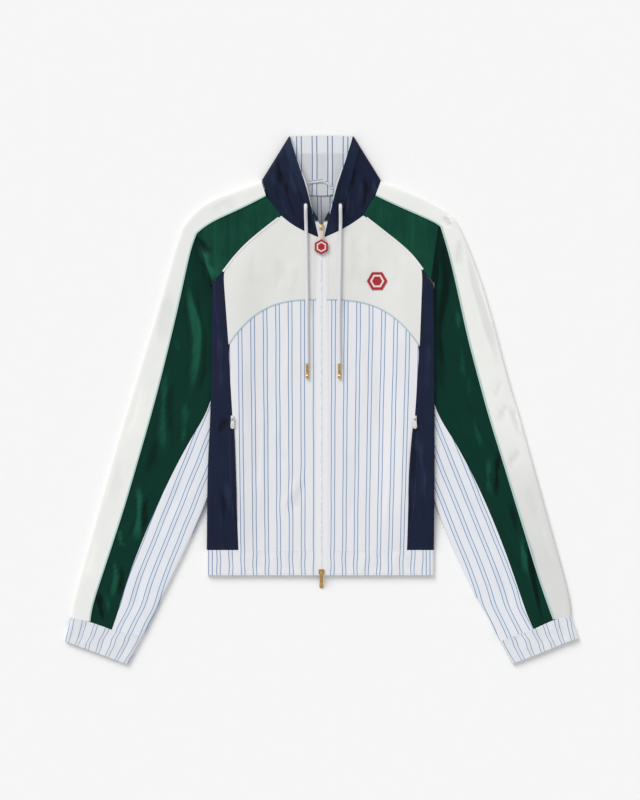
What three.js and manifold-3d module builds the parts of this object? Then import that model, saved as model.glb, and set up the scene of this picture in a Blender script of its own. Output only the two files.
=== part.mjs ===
// Track jacket lying flat on its back with its front up, in millimetres.
// +Z is up, +Y points to the collar, and the origin is on the surface under the middle of the outline.
// Places on the cloth are pairs: across from the centre front, and up from the origin.
import * as THREE from 'three';
import Module from 'manifold-3d';
import { mergeVertices } from 'three/addons/utils/BufferGeometryUtils.js';

const wasm = await Module();
wasm.setup();

// Cloth, seams and how high the layers lie
const WALL = 1.5;
const SEAM = 0.4;
const REST_GAP = 0.3;
const LAYERS = 6.8;
const BODY_LIFT = LAYERS + REST_GAP;
const NECK_RISE = 3.4;
const NECK_CENTRE = [0, 300];
const NECK_RISE_FULL = 95;
const NECK_RISE_GONE = 170;

// Where the sides of the body ride up over the sleeves: full lift, and where it has run out
const LIFT_ACROSS = { gone: 74, full: 127 };
const LIFT_ABOVE = { full: 172, gone: 248 };
const LIFT_BELOW = { full: -160, gone: -214 };

// Heights of the main lines across the body
const HEM_TOP = -221;
const HEM_BOTTOM = -261;
const CHEST_TOP = 148;
const CHEST_DROP = 66;
const CHEST_REACH = { left: 136, right: 142.5 };
const CHEST_BEND = 3.2;
const SIDE_TOP = 170;
const BACK_NECK = 300;
const ZIP_HALF_WIDE = 8;
const ZIP_HALF_NECK = 4.5;
const FRONT_NECK = 239;

// Body sections: the folded side edge and the seam between front and side panel
const BODY = [
  { up: 189, edge: { left: 156, right: 160 }, seam: { left: 144.5, right: 149 } },
  { up: 172, edge: { left: 161, right: 164.5 }, seam: { left: 143.5, right: 148.5 } },
  { up: 147, edge: { left: 160.5, right: 166 }, seam: { left: 142, right: 148 } },
  { up: 103, edge: { left: 161.5, right: 166.7 }, seam: { left: 138, right: 147 } },
  { up: 44, edge: { left: 162, right: 166.7 }, seam: { left: 135, right: 142 } },
  { up: -25, edge: { left: 163.5, right: 166.7 }, seam: { left: 130.5, right: 137.5 } },
  { up: -103, edge: { left: 167.5, right: 166.7 }, seam: { left: 126, right: 129 } },
  { up: -221, edge: { left: 169, right: 166 }, seam: { left: 122, right: 126 } },
];

// Shoulder sections from the neck to the fold at the shoulder: the outer edge, the seam between
// off-white and green, the seam to the yoke, and where these two seams lie on the back.
const SHOULDER = {
  left: [
    { outer: [89, 323], seam: [82, 301], inner: [59, 271], backSeam: [75, 315], backInner: [53, 303] },
    { outer: [120, 311], seam: [105, 289], inner: [86, 250], backSeam: [103, 297], backInner: [82, 268] },
    { outer: [150, 300], seam: [133, 276], inner: [111, 229], backSeam: [133, 278], backInner: [110, 235] },
    { outer: [175, 287], seam: [157, 265], inner: [131, 207], backSeam: [157, 265], backInner: [131, 207] },
    {
      outer: [192, 271], seam: [173, 255], inner: [144.5, 189],
      backSeam: [173, 255], backInner: [144.5, 189],
    },
    {
      outer: [202, 259], seam: [184, 246], inner: [160.5, 173],
      backSeam: [184, 246], backInner: [160.5, 173],
    },
  ],
  right: [
    { outer: [88, 322], seam: [80, 301.5], inner: [62, 271.5], backSeam: [73, 314], backInner: [53, 303] },
    { outer: [119, 310], seam: [103, 290.5], inner: [92, 248], backSeam: [101, 297], backInner: [82, 268] },
    { outer: [147, 298], seam: [129, 279], inner: [116, 229], backSeam: [129, 280], backInner: [112, 235] },
    { outer: [170, 286], seam: [152, 269], inner: [134, 212], backSeam: [152, 269], backInner: [134, 212] },
    { outer: [188, 275], seam: [167, 262], inner: [149, 192], backSeam: [167, 262], backInner: [149, 192] },
    { outer: [198, 264], seam: [176, 256], inner: [164, 173], backSeam: [176, 256], backInner: [164, 173] },
  ],
};

// Sleeve sections from the shoulder fold to the cuff: the outer edge, the seam between off-white
// and green, the seam between green and stripes, and the inner edge, which the body covers at first.
const ARM = {
  left: [
    { outer: [205, 255], seam: [185, 243.5], inner: [165, 171], under: [153, 165] },
    { outer: [212, 234], seam: [192, 226], inner: [158, 156], under: [149, 149] },
    { outer: [223, 196], seam: [199, 196], inner: [155, 128], under: [144, 121] },
    { outer: [237, 147], seam: [209.5, 146], inner: [150, 84], under: [133, 74] },
    { outer: [254, 91], seam: [224, 85], inner: [154, 37], under: [132, 22] },
    { outer: [271, 35], seam: [238, 28], inner: [165.8, -15], under: [135, -35] },
    { outer: [289, -24], seam: [254, -32], inner: [190.8, -53], under: [144, -83] },
    { outer: [307, -84], seam: [272, -93], inner: [218.8, -105], under: [163, -139] },
    { outer: [324, -145], seam: [289, -153], inner: [246.8, -165], under: [188, -195] },
    { outer: [339, -200], seam: [307, -208], inner: [269.8, -220], under: [212, -246] },
    { outer: [353, -251], seam: [324, -260], inner: [288.8, -271], under: [235, -291] },
    { outer: [366, -296], seam: [339, -305], inner: [301, -316], under: [253, -330] },
    { outer: [369, -320], seam: [341, -326], inner: [309, -338], under: [263, -348] },
  ],
  right: [
    { outer: [202, 259], seam: [177, 253], inner: [171, 172], under: [157, 165.5] },
    { outer: [211, 239], seam: [183, 234], inner: [165.5, 157.5], under: [154, 149.5] },
    { outer: [226, 203], seam: [191, 206], inner: [164.5, 130], under: [153, 123] },
    { outer: [243, 150], seam: [204, 148], inner: [156, 84], under: [139, 74] },
    { outer: [259, 93], seam: [216, 91], inner: [156, 33], under: [133, 21] },
    { outer: [274, 35], seam: [232, 32], inner: [170.3, -22], under: [137, -35] },
    { outer: [292, -25], seam: [248, -28], inner: [193.3, -54], under: [145, -84] },
    { outer: [309, -85], seam: [267, -87], inner: [222.3, -107], under: [162, -138] },
    { outer: [325, -143], seam: [285, -147], inner: [248.3, -164], under: [184, -199] },
    { outer: [341, -200], seam: [303, -205], inner: [271.3, -222], under: [206, -246] },
    { outer: [356, -252], seam: [319, -258], inner: [289.3, -274], under: [227, -289] },
    { outer: [367, -295], seam: [333, -299], inner: [303, -316], under: [250, -327] },
    { outer: [368, -319], seam: [342, -323], inner: [313, -337], under: [263, -355] },
  ],
};
const CUFF_END = {
  left: { outer: [379, -354], seam: [355, -363], inner: [325, -374], under: [285, -389] },
  right: { outer: [379, -350], seam: [356, -358], inner: [326, -371], under: [281, -388] },
};

// Collar: half lies flat behind the neck and half is folded forward over it, with its corners raised
const COLLAR_FOLD_LOW = [87, 323];
const COLLAR_FOLD_TOP = [47, 388];
const COLLAR_FRONT_LOW = [4.5, 239.5];
const COLLAR_FRONT_TOP = [24.5, 314];
const COLLAR_CORNER_RISE = 15;
const NECK_SEAM = [[28, 249.5], [46, 260]];
const COLLAR_TOP_BULGE = 1;

// Metal, cords and small trim
const CORD_RADIUS = 2.5;
const TIP_LENGTH = 21;
const TIP_RADIUS = 2.4;
const PIPING_HALF = 1.2;
const PIPING_START = 0.3;
const PIPING_HEIGHT = 1.1;
const TEETH_HALF = 0.9;
const TAPE_INNER = 1.3;
const PATCH_CENTRE = [82, 175];
const PATCH_RADIUS = 15;
const PATCH_HEIGHT = 0.9;
const BADGE_SIDES = 6;

// Colours of the cloth and the trim
const finish = (color, roughness, metalness = 0) => new THREE.MeshStandardMaterial({
  color,
  roughness,
  metalness,
  side: THREE.FrontSide,
});
const OFF_WHITE = finish(0xe4e4e0, 0.6);
const GREEN = finish(0x14463a, 0.35);
const NAVY = finish(0x1f2947, 0.35);
const SHIRTING = finish(0xd6dde8, 0.8);
const PIPING = finish(0xc8e0da, 0.6);
const TAPE = finish(0xe9e9ea, 0.7);
const BRASS = finish(0xc79a45, 0.3, 1);
const CORD_WHITE = finish(0xeeeef0, 0.8);
const RED = finish(0xb81d2c, 0.5);
const CREAM = finish(0xe8d8c8, 0.6);

const SIDES = { left: -1, right: 1 };
const jacket = new THREE.Group();

function ramp(value, from, to) {
  const t = THREE.MathUtils.clamp((value - from) / (to - from), 0, 1);
  return t * t * (3 - 2 * t);
}

const mix = (a, b, t) => a + (b - a) * t;
const between = (a, b, t) => [mix(a[0], b[0], t), mix(a[1], b[1], t)];

// The point this far from a towards b
function towards(a, b, distance) {
  return between(a, b, distance / Math.hypot(b[0] - a[0], b[1] - a[1]));
}

// How high the lower layer of the body lies, and how far apart the two layers' outer faces are
function bodyLow(across, up) {
  const sideways = ramp(Math.abs(across), LIFT_ACROSS.gone, LIFT_ACROSS.full);
  const above = 1 - ramp(up, LIFT_ABOVE.full, LIFT_ABOVE.gone);
  const below = ramp(up, LIFT_BELOW.gone, LIFT_BELOW.full);
  return BODY_LIFT * sideways * above * below;
}

function loft(across, up) {
  const distance = Math.hypot(across - NECK_CENTRE[0], up - NECK_CENTRE[1]);
  return LAYERS + NECK_RISE * (1 - ramp(distance, NECK_RISE_FULL, NECK_RISE_GONE));
}

const body = {
  low: bodyLow,
  top: (across, up) => bodyLow(across, up) + loft(across, up),
};
const arm = { low: () => 0, top: () => LAYERS };

// A column of the body table at any height
function bodyAt(key, side, up) {
  for (let row = 1; row < BODY.length; row += 1) {
    const high = BODY[row - 1];
    const low = BODY[row];
    if (up >= low.up || row === BODY.length - 1) {
      const t = THREE.MathUtils.clamp((high.up - up) / (high.up - low.up), 0, 1);
      return mix(high[key][side], low[key][side], t);
    }
  }
  return BODY[0][key][side];
}

const zipEdge = (up) => mix(ZIP_HALF_WIDE, ZIP_HALF_NECK, ramp(up, CHEST_TOP, FRONT_NECK));
const chestSeam = (side, across) => CHEST_TOP - CHEST_DROP * (across / CHEST_REACH[side]) ** CHEST_BEND;

// A smooth line through pairs, with so many steps from each to the next
function trace(pairs, stepsPerGap) {
  const curve = new THREE.CatmullRomCurve3(pairs.map(([x, y]) => new THREE.Vector3(x, y, 0)));
  const steps = (pairs.length - 1) * stepsPerGap;
  return curve.getPoints(steps).map((point) => [point.x, point.y]);
}

function addMesh(name, geometry, material, parent = jacket) {
  const mesh = new THREE.Mesh(geometry, material);
  mesh.name = name;
  parent.add(mesh);
  return mesh;
}

// Outward normals of a grid of points, with faceUp saying whether its first column faces up
function gridNormals(grid, faceUp) {
  const rows = grid.length;
  const columns = grid[0].length;
  const normals = grid.map((row, r) => row.map((point, c) => {
    const down = grid[Math.min(r + 1, rows - 1)][c].clone().sub(grid[Math.max(r - 1, 0)][c]);
    const along = row[Math.min(c + 1, columns - 1)].clone().sub(row[Math.max(c - 1, 0)]);
    return down.cross(along).normalize();
  }));
  const first = normals[Math.floor(rows / 2)][0];
  const sign = (first.z > 0) === faceUp ? 1 : -1;
  normals.forEach((row) => row.forEach((normal) => normal.multiplyScalar(sign)));
  return { normals, sign };
}

// A closed cloth wall: the grid is its outer face, moved in by inset, and it is thick deep
function addWall(name, grid, material, { faceUp = true, inset = 0, thick = WALL } = {}) {
  const { normals, sign } = gridNormals(grid, faceUp);
  const rows = grid.length;
  const columns = grid[0].length;
  const points = [];
  for (const depth of [inset, inset + thick]) {
    grid.forEach((row, r) => row.forEach((point, c) => {
      points.push(point.clone().addScaledVector(normals[r][c], -depth));
    }));
  }
  const index = [];
  const at = (layer, r, c) => layer * rows * columns + r * columns + c;
  const quad = (a, b, c, d) => index.push(...(sign > 0 ? [a, b, c, a, c, d] : [a, c, b, a, d, c]));
  for (let r = 0; r < rows - 1; r += 1) {
    for (let c = 0; c < columns - 1; c += 1) {
      quad(at(0, r, c), at(0, r + 1, c), at(0, r + 1, c + 1), at(0, r, c + 1));
      quad(at(1, r, c), at(1, r, c + 1), at(1, r + 1, c + 1), at(1, r + 1, c));
    }
    quad(at(0, r + 1, 0), at(0, r, 0), at(1, r, 0), at(1, r + 1, 0));
    const last = columns - 1;
    quad(at(0, r, last), at(0, r + 1, last), at(1, r + 1, last), at(1, r, last));
  }
  for (let c = 0; c < columns - 1; c += 1) {
    quad(at(0, 0, c), at(0, 0, c + 1), at(1, 0, c + 1), at(1, 0, c));
    const last = rows - 1;
    quad(at(0, last, c + 1), at(0, last, c), at(1, last, c), at(1, last, c + 1));
  }
  const geometry = new THREE.BufferGeometry().setFromPoints(points);
  geometry.setIndex(index);
  geometry.computeVertexNormals();
  return addMesh(name, geometry, material);
}

// A strip that lies on seams: a line of places, made from the panel's own points and moved out
function addStrip(name, line, material, { half, height, top, ends = 0 }) {
  const grid = line.map(([x, y, z], i) => {
    const before = line[Math.max(i - 1, 0)];
    const after = line[Math.min(i + 1, line.length - 1)];
    const run = new THREE.Vector3(after[0] - before[0], after[1] - before[1], 0).normalize();
    const aside = new THREE.Vector3(run.y, -run.x, 0);
    const centre = new THREE.Vector3(x, y, z + REST_GAP + height);
    return [-1, 0, 1].map((step) => centre.clone()
      .addScaledVector(aside, step * half)
      .add(new THREE.Vector3(0, 0, step === 0 ? 0 : -ends)));
  });
  return addWall(name, grid, material, { thick: top ?? height });
}

// Round a folded edge: from a seam on top, over the edge and back to a seam underneath
const RIM_STEPS = 4;
function roundEdge(topSeam, lowSeam, edge, layer, flatSteps = 2) {
  const height = layer.top(...edge) - layer.low(...edge);
  const radius = height / 2;
  const low = layer.low(...edge);
  const topEnd = towards(edge, topSeam, radius);
  const lowEnd = towards(edge, lowSeam, radius);
  const points = [];
  for (let i = 0; i < flatSteps; i += 1) {
    const place = between(topSeam, topEnd, i / flatSteps);
    points.push([...place, layer.top(...place)]);
  }
  for (let i = 0; i <= RIM_STEPS; i += 1) {
    const angle = Math.PI * i / RIM_STEPS;
    const base = between(topEnd, lowEnd, i / RIM_STEPS);
    const out = towards(base, edge, radius * Math.sin(angle));
    points.push([...out, low + radius + radius * Math.cos(angle)]);
  }
  for (let i = flatSteps - 1; i >= 0; i -= 1) {
    const place = between(lowSeam, lowEnd, i / flatSteps);
    points.push([...place, layer.low(...place)]);
  }
  return points;
}

const place = (side, [x, y, z]) => new THREE.Vector3(SIDES[side] * x, y, z);
const SHOULDER_STEPS = 2;
const ARM_STEPS = 1;

// All the sleeve's sections in order, from the neck to the cuff
function sleeveRows(side) {
  const column = (table, key, steps) => trace(table.map((row) => row[key]), steps);
  const keys = ['outer', 'seam', 'inner'];
  const shoulder = Object.fromEntries(
    [...keys, 'backSeam', 'backInner'].map((key) => [key, column(SHOULDER[side], key, SHOULDER_STEPS)]),
  );
  const lower = Object.fromEntries(
    [...keys, 'under'].map((key) => [key, column(ARM[side], key, ARM_STEPS)]),
  );
  const upperRows = shoulder.outer.map((outer, i) => ({
    layer: body,
    outer,
    seam: shoulder.seam[i],
    inner: shoulder.inner[i],
    backSeam: shoulder.backSeam[i],
    backInner: shoulder.backInner[i],
  }));
  const lowerRows = lower.outer.map((outer, i) => ({
    layer: arm,
    outer,
    seam: lower.seam[i],
    inner: lower.inner[i],
    under: lower.under[i],
    backSeam: lower.seam[i],
    backInner: lower.inner[i],
  }));
  return [...upperRows, ...lowerRows];
}

// One layer of cloth across each row, from one place to another
function acrossRows(side, rows, from, to, face, columns) {
  return rows.map((row) => {
    const start = towards(row[from], row[to], SEAM / 2);
    const end = towards(row[to], row[from], SEAM / 2);
    return Array.from({ length: columns + 1 }, (_, c) => {
      const spot = between(start, end, c / columns);
      return place(side, [...spot, row.layer[face](...spot)]);
    });
  });
}

function makeSleeve(side) {
  const rows = sleeveRows(side);
  const edgeStrip = rows.map((row) => roundEdge(
    towards(row.seam, row.outer, SEAM / 2),
    towards(row.backSeam, row.outer, SEAM / 2),
    row.outer,
    row.layer,
  ).map((spot) => place(side, spot)));
  addWall(`sleeve_strip_${side}`, edgeStrip, OFF_WHITE);
  addWall(`sleeve_front_${side}`, acrossRows(side, rows, 'seam', 'inner', 'top', 3), GREEN);
  const back = acrossRows(side, rows, 'backSeam', 'backInner', 'low', 3);
  addWall(`sleeve_back_${side}`, back, GREEN, { faceUp: false });
  const lowerRows = rows.filter((row) => row.under).slice(1);
  const underarm = lowerRows.map((row) => roundEdge(
    towards(row.inner, row.under, 2 * SEAM),
    towards(row.inner, row.under, 2 * SEAM),
    row.under,
    row.layer,
  ).map((spot) => place(side, spot)));
  addWall(`sleeve_under_${side}`, underarm, SHIRTING);
  const seamLine = rows.map((row) => {
    const spot = row.seam;
    return [SIDES[side] * spot[0], spot[1], row.layer.top(...spot)];
  });
  addStrip(`piping_sleeve_${side}`, seamLine, PIPING, { half: PIPING_HALF, height: PIPING_HEIGHT });
}

// The cuff is one band all round, a closed loop of cloth a hand goes through
const CUFF_FLAT_STEPS = 2;
function makeCuff(side) {
  const start = ARM[side][ARM[side].length - 1];
  const end = CUFF_END[side];
  const gap = SEAM / Math.hypot(end.outer[0] - start.outer[0], end.outer[1] - start.outer[1]);
  const grid = [gap, 0.5, 1].map((t) => {
    const [outer, seam, inner, under] = ['outer', 'seam', 'inner', 'under']
      .map((key) => between(start[key], end[key], t));
    const outerHalf = roundEdge(seam, seam, outer, arm, CUFF_FLAT_STEPS);
    const underHalf = roundEdge(inner, inner, under, arm, CUFF_FLAT_STEPS);
    return [...outerHalf, ...underHalf.reverse()].map((spot) => place(side, spot));
  });
  addRing(`cuff_${side}`, grid, SHIRTING);
}

// A closed loop of cloth: each row of the grid goes all the way round
function addRing(name, grid, material) {
  const rows = grid.length;
  const columns = grid[0].length;
  const centre = new THREE.Vector3();
  grid[0].forEach((point) => centre.addScaledVector(point, 1 / columns));
  const wrap = (c) => (c + columns) % columns;
  const normals = grid.map((row, r) => row.map((point, c) => {
    const down = grid[Math.min(r + 1, rows - 1)][c].clone().sub(grid[Math.max(r - 1, 0)][c]);
    const along = row[wrap(c + 1)].clone().sub(row[wrap(c - 1)]);
    return down.cross(along).normalize();
  }));
  const sign = normals[0][0].dot(grid[0][0].clone().sub(centre)) > 0 ? 1 : -1;
  const points = [];
  for (const depth of [0, WALL]) {
    grid.forEach((row, r) => row.forEach((point, c) => {
      points.push(point.clone().addScaledVector(normals[r][c], -sign * depth));
    }));
  }
  const index = [];
  const at = (layer, r, c) => layer * rows * columns + r * columns + wrap(c);
  const quad = (a, b, c, d) => index.push(...(sign > 0 ? [a, b, c, a, c, d] : [a, c, b, a, d, c]));
  for (let c = 0; c < columns; c += 1) {
    for (let r = 0; r < rows - 1; r += 1) {
      quad(at(0, r, c), at(0, r + 1, c), at(0, r + 1, c + 1), at(0, r, c + 1));
      quad(at(1, r, c), at(1, r, c + 1), at(1, r + 1, c + 1), at(1, r + 1, c));
    }
    quad(at(0, 0, c), at(0, 0, c + 1), at(1, 0, c + 1), at(1, 0, c));
    const last = rows - 1;
    quad(at(0, last, c + 1), at(0, last, c), at(1, last, c), at(1, last, c + 1));
  }
  const geometry = new THREE.BufferGeometry().setFromPoints(points);
  geometry.setIndex(index);
  geometry.computeVertexNormals();
  return addMesh(name, geometry, material);
}

// The neck seam on the front, from the centre to the shoulder seam
function neckSeam(side) {
  const { inner, seam } = SHOULDER[side][0];
  return { front: [COLLAR_FRONT_LOW, ...NECK_SEAM, inner], shoulder: seam };
}

// A value read off a line of pairs that runs one way across
function upOn(line, across) {
  for (let i = 1; i < line.length; i += 1) {
    const [a, b] = [line[i - 1], line[i]];
    if (across <= b[0] || i === line.length - 1) {
      return mix(a[1], b[1], (across - a[0]) / (b[0] - a[0]));
    }
  }
  return line[0][1];
}

const YOKE_ROWS = 4;
const FRONT_ROWS = 9;
const RAGLAN_SECTIONS = 5;

// The seam between yoke and sleeve, at the same places as the sleeve's own sections
function raglanSeam(side) {
  const places = trace(SHOULDER[side].map((row) => row.inner), SHOULDER_STEPS);
  return places.slice(0, (RAGLAN_SECTIONS - 1) * SHOULDER_STEPS + 1);
}

// The chest seam from the zip to the side panel, at the shares of its width given
function chestLine(side, shares) {
  const end = bodyAt('seam', side, chestSeam(side, bodyAt('seam', side, CHEST_TOP)));
  return shares.map((share) => {
    const across = mix(ZIP_HALF_WIDE + SEAM / 2, end - SEAM / 2, share);
    return [across, chestSeam(side, across)];
  });
}

// The yoke's upper line is the neck seam and then the sleeve seam; its columns are shared with the
// lower front, as shares of the width
function yokeTop(side) {
  const neck = [[ZIP_HALF_NECK + SEAM / 2, COLLAR_FRONT_LOW[1]], ...NECK_SEAM];
  const places = [...neck, ...raglanSeam(side)];
  const last = places[places.length - 1][0];
  const shares = places.map(([across]) => (across - places[0][0]) / (last - places[0][0]));
  return { places, shares };
}

function makeFront(side) {
  const { places, shares } = yokeTop(side);
  const chest = chestLine(side, shares);
  const yoke = Array.from({ length: YOKE_ROWS + 1 }, (_, r) => (
    shares.map((share, c) => {
      const top = [places[c][0] - SEAM * share, places[c][1] - SEAM];
      const low = [chest[c][0], chest[c][1] + SEAM / 2];
      const spot = between(top, low, r / YOKE_ROWS);
      return place(side, [...spot, body.top(...spot)]);
    })
  ));
  addWall(`yoke_${side}`, yoke, OFF_WHITE);
  const front = Array.from({ length: FRONT_ROWS + 1 }, (_, r) => (
    shares.map((share, c) => {
      const t = r / FRONT_ROWS;
      const up = mix(chest[c][1] - SEAM / 2, HEM_TOP + SEAM / 2, t);
      const spread = (level) => (
        mix(zipEdge(level) + SEAM / 2, bodyAt('seam', side, level) - SEAM / 2, share)
      );
      const fromChest = chest[c][0] - spread(chest[c][1]);
      const across = spread(up) + fromChest * (1 - Math.min(1, t * 3));
      return place(side, [across, up, body.top(across, up)]);
    })
  ));
  addWall(`front_${side}`, front, SHIRTING);
  const onBody = ([across, up]) => [SIDES[side] * across, up, body.top(across, up)];
  addStrip(`piping_chest_${side}`, chest.map(onBody), PIPING, { half: PIPING_HALF, height: PIPING_HEIGHT });
  const [first, ...rest] = raglanSeam(side);
  const raglan = [between(first, rest[0], PIPING_START), ...rest].map(onBody);
  addStrip(`piping_yoke_${side}`, raglan, TAPE, { half: PIPING_HALF, height: PIPING_HEIGHT });
}

// The side panel wraps the folded edge of the body from the front seam to the back seam, with its
// rows where the yoke and the lower front have theirs
function makeSide(side) {
  const corner = BODY[0].up - SEAM;
  const chestEnd = chestLine(side, [1])[0][1];
  const yokeLevels = Array.from({ length: YOKE_ROWS }, (_, r) => mix(corner, chestEnd, r / YOKE_ROWS));
  const lowLevels = Array.from(
    { length: FRONT_ROWS + 1 },
    (_, r) => mix(chestEnd, HEM_TOP + SEAM / 2, r / FRONT_ROWS),
  );
  const grid = [...yokeLevels, ...lowLevels].map((seamUp) => {
    const level = mix(SIDE_TOP, HEM_TOP + SEAM / 2, (corner - seamUp) / (corner - HEM_TOP));
    const seam = [bodyAt('seam', side, seamUp) + SEAM / 2, seamUp];
    const edge = [bodyAt('edge', side, level), level];
    return roundEdge(seam, seam, edge, body).map((spot) => place(side, spot));
  });
  addWall(`side_${side}`, grid, NAVY);
}

const BACK_COLUMNS = 16;
const BACK_ROWS = 11;

// One plain back panel under everything, between the side panels and the sleeves' backs
function makeBack() {
  const grid = Array.from({ length: BACK_ROWS + 1 }, (_, r) => (
    Array.from({ length: BACK_COLUMNS + 1 }, (__, c) => {
      const t = c / BACK_COLUMNS * 2 - 1;
      const side = t < 0 ? 'left' : 'right';
      const seams = SHOULDER[side].slice(0, 5).map((row) => row.backInner);
      const topLine = [[0, BACK_NECK], ...seams];
      const corner = seams[seams.length - 1][0];
      const topAcross = Math.abs(t) * (corner - SEAM);
      const topUp = upOn(topLine, topAcross) - SEAM;
      const up = mix(topUp, HEM_TOP + SEAM / 2, r / BACK_ROWS);
      const cornerUp = Math.min(up, BODY[0].up);
      const wide = bodyAt('seam', side, cornerUp) - SEAM / 2;
      const across = Math.abs(t) * Math.min(wide, corner - SEAM);
      return new THREE.Vector3(SIDES[side] * across, up, body.low(across, up));
    })
  ));
  addWall('back', grid, SHIRTING, { faceUp: false });
}

// The hem band: two fronts, and a back that wraps the folded edges
function makeHem() {
  const levels = [HEM_TOP - SEAM / 2, (HEM_TOP + HEM_BOTTOM) / 2, HEM_BOTTOM];
  const joinIn = 14;
  for (const side of Object.keys(SIDES)) {
    const grid = levels.map((up) => Array.from({ length: 7 }, (_, c) => {
      const end = bodyAt('edge', side, up) - joinIn;
      const across = mix(ZIP_HALF_WIDE + SEAM / 2, end - SEAM / 2, c / 6);
      return place(side, [across, up, body.top(across, up)]);
    }));
    addWall(`hem_front_${side}`, grid, SHIRTING);
  }
  const wrap = levels.map((up) => {
    const halves = Object.keys(SIDES).map((side) => {
      const edge = [bodyAt('edge', side, up), up];
      const seam = [edge[0] - joinIn, up];
      const middle = [edge[0] / 2, up];
      const half = roundEdge(seam, middle, edge, body);
      return half.map((spot) => place(side, spot));
    });
    const centre = new THREE.Vector3(0, up, 0);
    return [...halves[0], centre, ...halves[1].reverse()];
  });
  addWall('hem_back', wrap, SHIRTING);
}

const COLLAR_ROWS = 6;
const FLAP_COLUMNS = 6;
const COLLAR_BACK_COLUMNS = 8;

// How high the outer face of the folded-over collar front lies: raised towards its front corner
function flapHeight(rise, front) {
  return LAYERS + NECK_RISE + COLLAR_CORNER_RISE * front ** 1.3 * ramp(rise, 0, 1);
}

// A place on the folded-over front: rise goes from the neck seam to the top edge, and front from
// the folded side to the centre front
function flapSpot(side, rise, front) {
  const seamPairs = [...neckSeam(side).front].reverse();
  const neckLine = [COLLAR_FOLD_LOW, neckSeam(side).shoulder, ...seamPairs];
  const steps = neckLine.length - 1;
  const at = Math.min(Math.floor(front * steps), steps - 1);
  const low = between(neckLine[at], neckLine[at + 1], front * steps - at);
  const top = between(COLLAR_FOLD_TOP, COLLAR_FRONT_TOP, front);
  const inward = [low[0] - SEAM * Math.sin(front * Math.PI / 2) * 0.5, low[1] + SEAM];
  return between(inward, top, rise);
}

// One loop round the collar at a height between the neck seam and the top edge
function collarLoop(rise) {
  const flap = (side) => {
    const spots = [];
    for (let c = 0; c < FLAP_COLUMNS; c += 1) {
      const front = 1 - c / FLAP_COLUMNS * 0.9;
      const spot = flapSpot(side, rise, front);
      spots.push([...spot, flapHeight(rise, front)]);
    }
    return spots;
  };
  const turn = (side) => {
    const edge = flapSpot(side, rise, 0);
    const frontSide = flapSpot(side, rise, 0.1);
    const backSide = between(edge, [0, edge[1]], 0.15);
    const layer = { low: () => 0, top: () => LAYERS + NECK_RISE };
    return roundEdge(frontSide, backSide, edge, layer, 1);
  };
  const backLine = (side) => {
    const spots = [];
    const edge = flapSpot(side, rise, 0);
    const lowLine = [[0, BACK_NECK + SEAM], SHOULDER[side][0].backInner, SHOULDER[side][0].backSeam];
    for (let c = 1; c <= COLLAR_BACK_COLUMNS / 2; c += 1) {
      const across = edge[0] * 0.85 * (1 - c / (COLLAR_BACK_COLUMNS / 2));
      const full = Math.abs(across) / edge[0];
      const low = upOn(lowLine, full * COLLAR_FOLD_LOW[0]) + SEAM * 2;
      const top = COLLAR_FOLD_TOP[1] + COLLAR_TOP_BULGE * (1 - full ** 2);
      spots.push([across, mix(low, top, rise), 0]);
    }
    return spots;
  };
  const half = (side) => [...flap(side), ...turn(side).slice(1), ...backLine(side)];
  const left = half('left').map((spot) => place('left', spot));
  const right = half('right').map((spot) => place('right', spot));
  return [...left, ...right.reverse().slice(1)];
}

function makeCollar() {
  const loops = Array.from({ length: COLLAR_ROWS + 1 }, (_, r) => collarLoop(1 - r / COLLAR_ROWS));
  addWall('collar_outer', loops, NAVY);
  addWall('collar_inner', loops, SHIRTING, { inset: WALL + REST_GAP });
}

// The zip: a tape on each side of the centre, which follows the open collar's front edge
const BODY_LEVELS = [HEM_BOTTOM, HEM_TOP, -130, -40, 50, CHEST_TOP, 175, 207, FRONT_NECK];
const COLLAR_TAPE_ROWS = [
  { rise: 0.1, inner: 1.3 },
  { rise: 0.2, inner: 1.6 },
  { rise: 0.34, inner: 5.6 },
  { rise: 0.55, inner: 9.4 },
  { rise: 0.78, inner: 13.6 },
  { rise: 0.95, inner: 16.6 },
];
const TAPE_DROP = 0.3;
const TAPE_CLEAR = 3.2;

function makeTape(side) {
  const low = BODY_LEVELS.map((up) => {
    const height = body.top(0, up);
    const outer = zipEdge(up) - SEAM;
    return [place(side, [TAPE_INNER, up, height]), place(side, [outer, up, height])];
  });
  const high = COLLAR_TAPE_ROWS.map(({ rise, inner }) => {
    const [across, up] = flapSpot(side, rise, 1);
    const height = flapHeight(rise, 1) - TAPE_DROP;
    const outer = across - SEAM - REST_GAP - TAPE_CLEAR * rise;
    return [place(side, [inner, up, height]), place(side, [outer, up, height])];
  });
  addWall(`zip_tape_${side}`, [...low, ...high], TAPE, { thick: WALL * 0.8 });
}

const TEETH_PROUD = 0.5;
const TEETH_THICK = 1.6;
const TEETH_LOW = -249;
const TEETH_HIGH = 252;

function makeTeeth() {
  const levels = [TEETH_LOW, HEM_TOP, -130, -40, 50, CHEST_TOP, 175, 207, FRONT_NECK, TEETH_HIGH];
  const grid = levels.map((up) => {
    const onCollar = (up - FRONT_NECK) / (COLLAR_FRONT_TOP[1] - FRONT_NECK);
    const height = up > FRONT_NECK ? flapHeight(onCollar, 1) - TAPE_DROP : body.top(0, up);
    return [-1, 1].map((sign) => new THREE.Vector3(sign * TEETH_HALF, up, height + TEETH_PROUD));
  });
  addWall('zip_teeth', grid, TAPE, { thick: TEETH_THICK });
}

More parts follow.
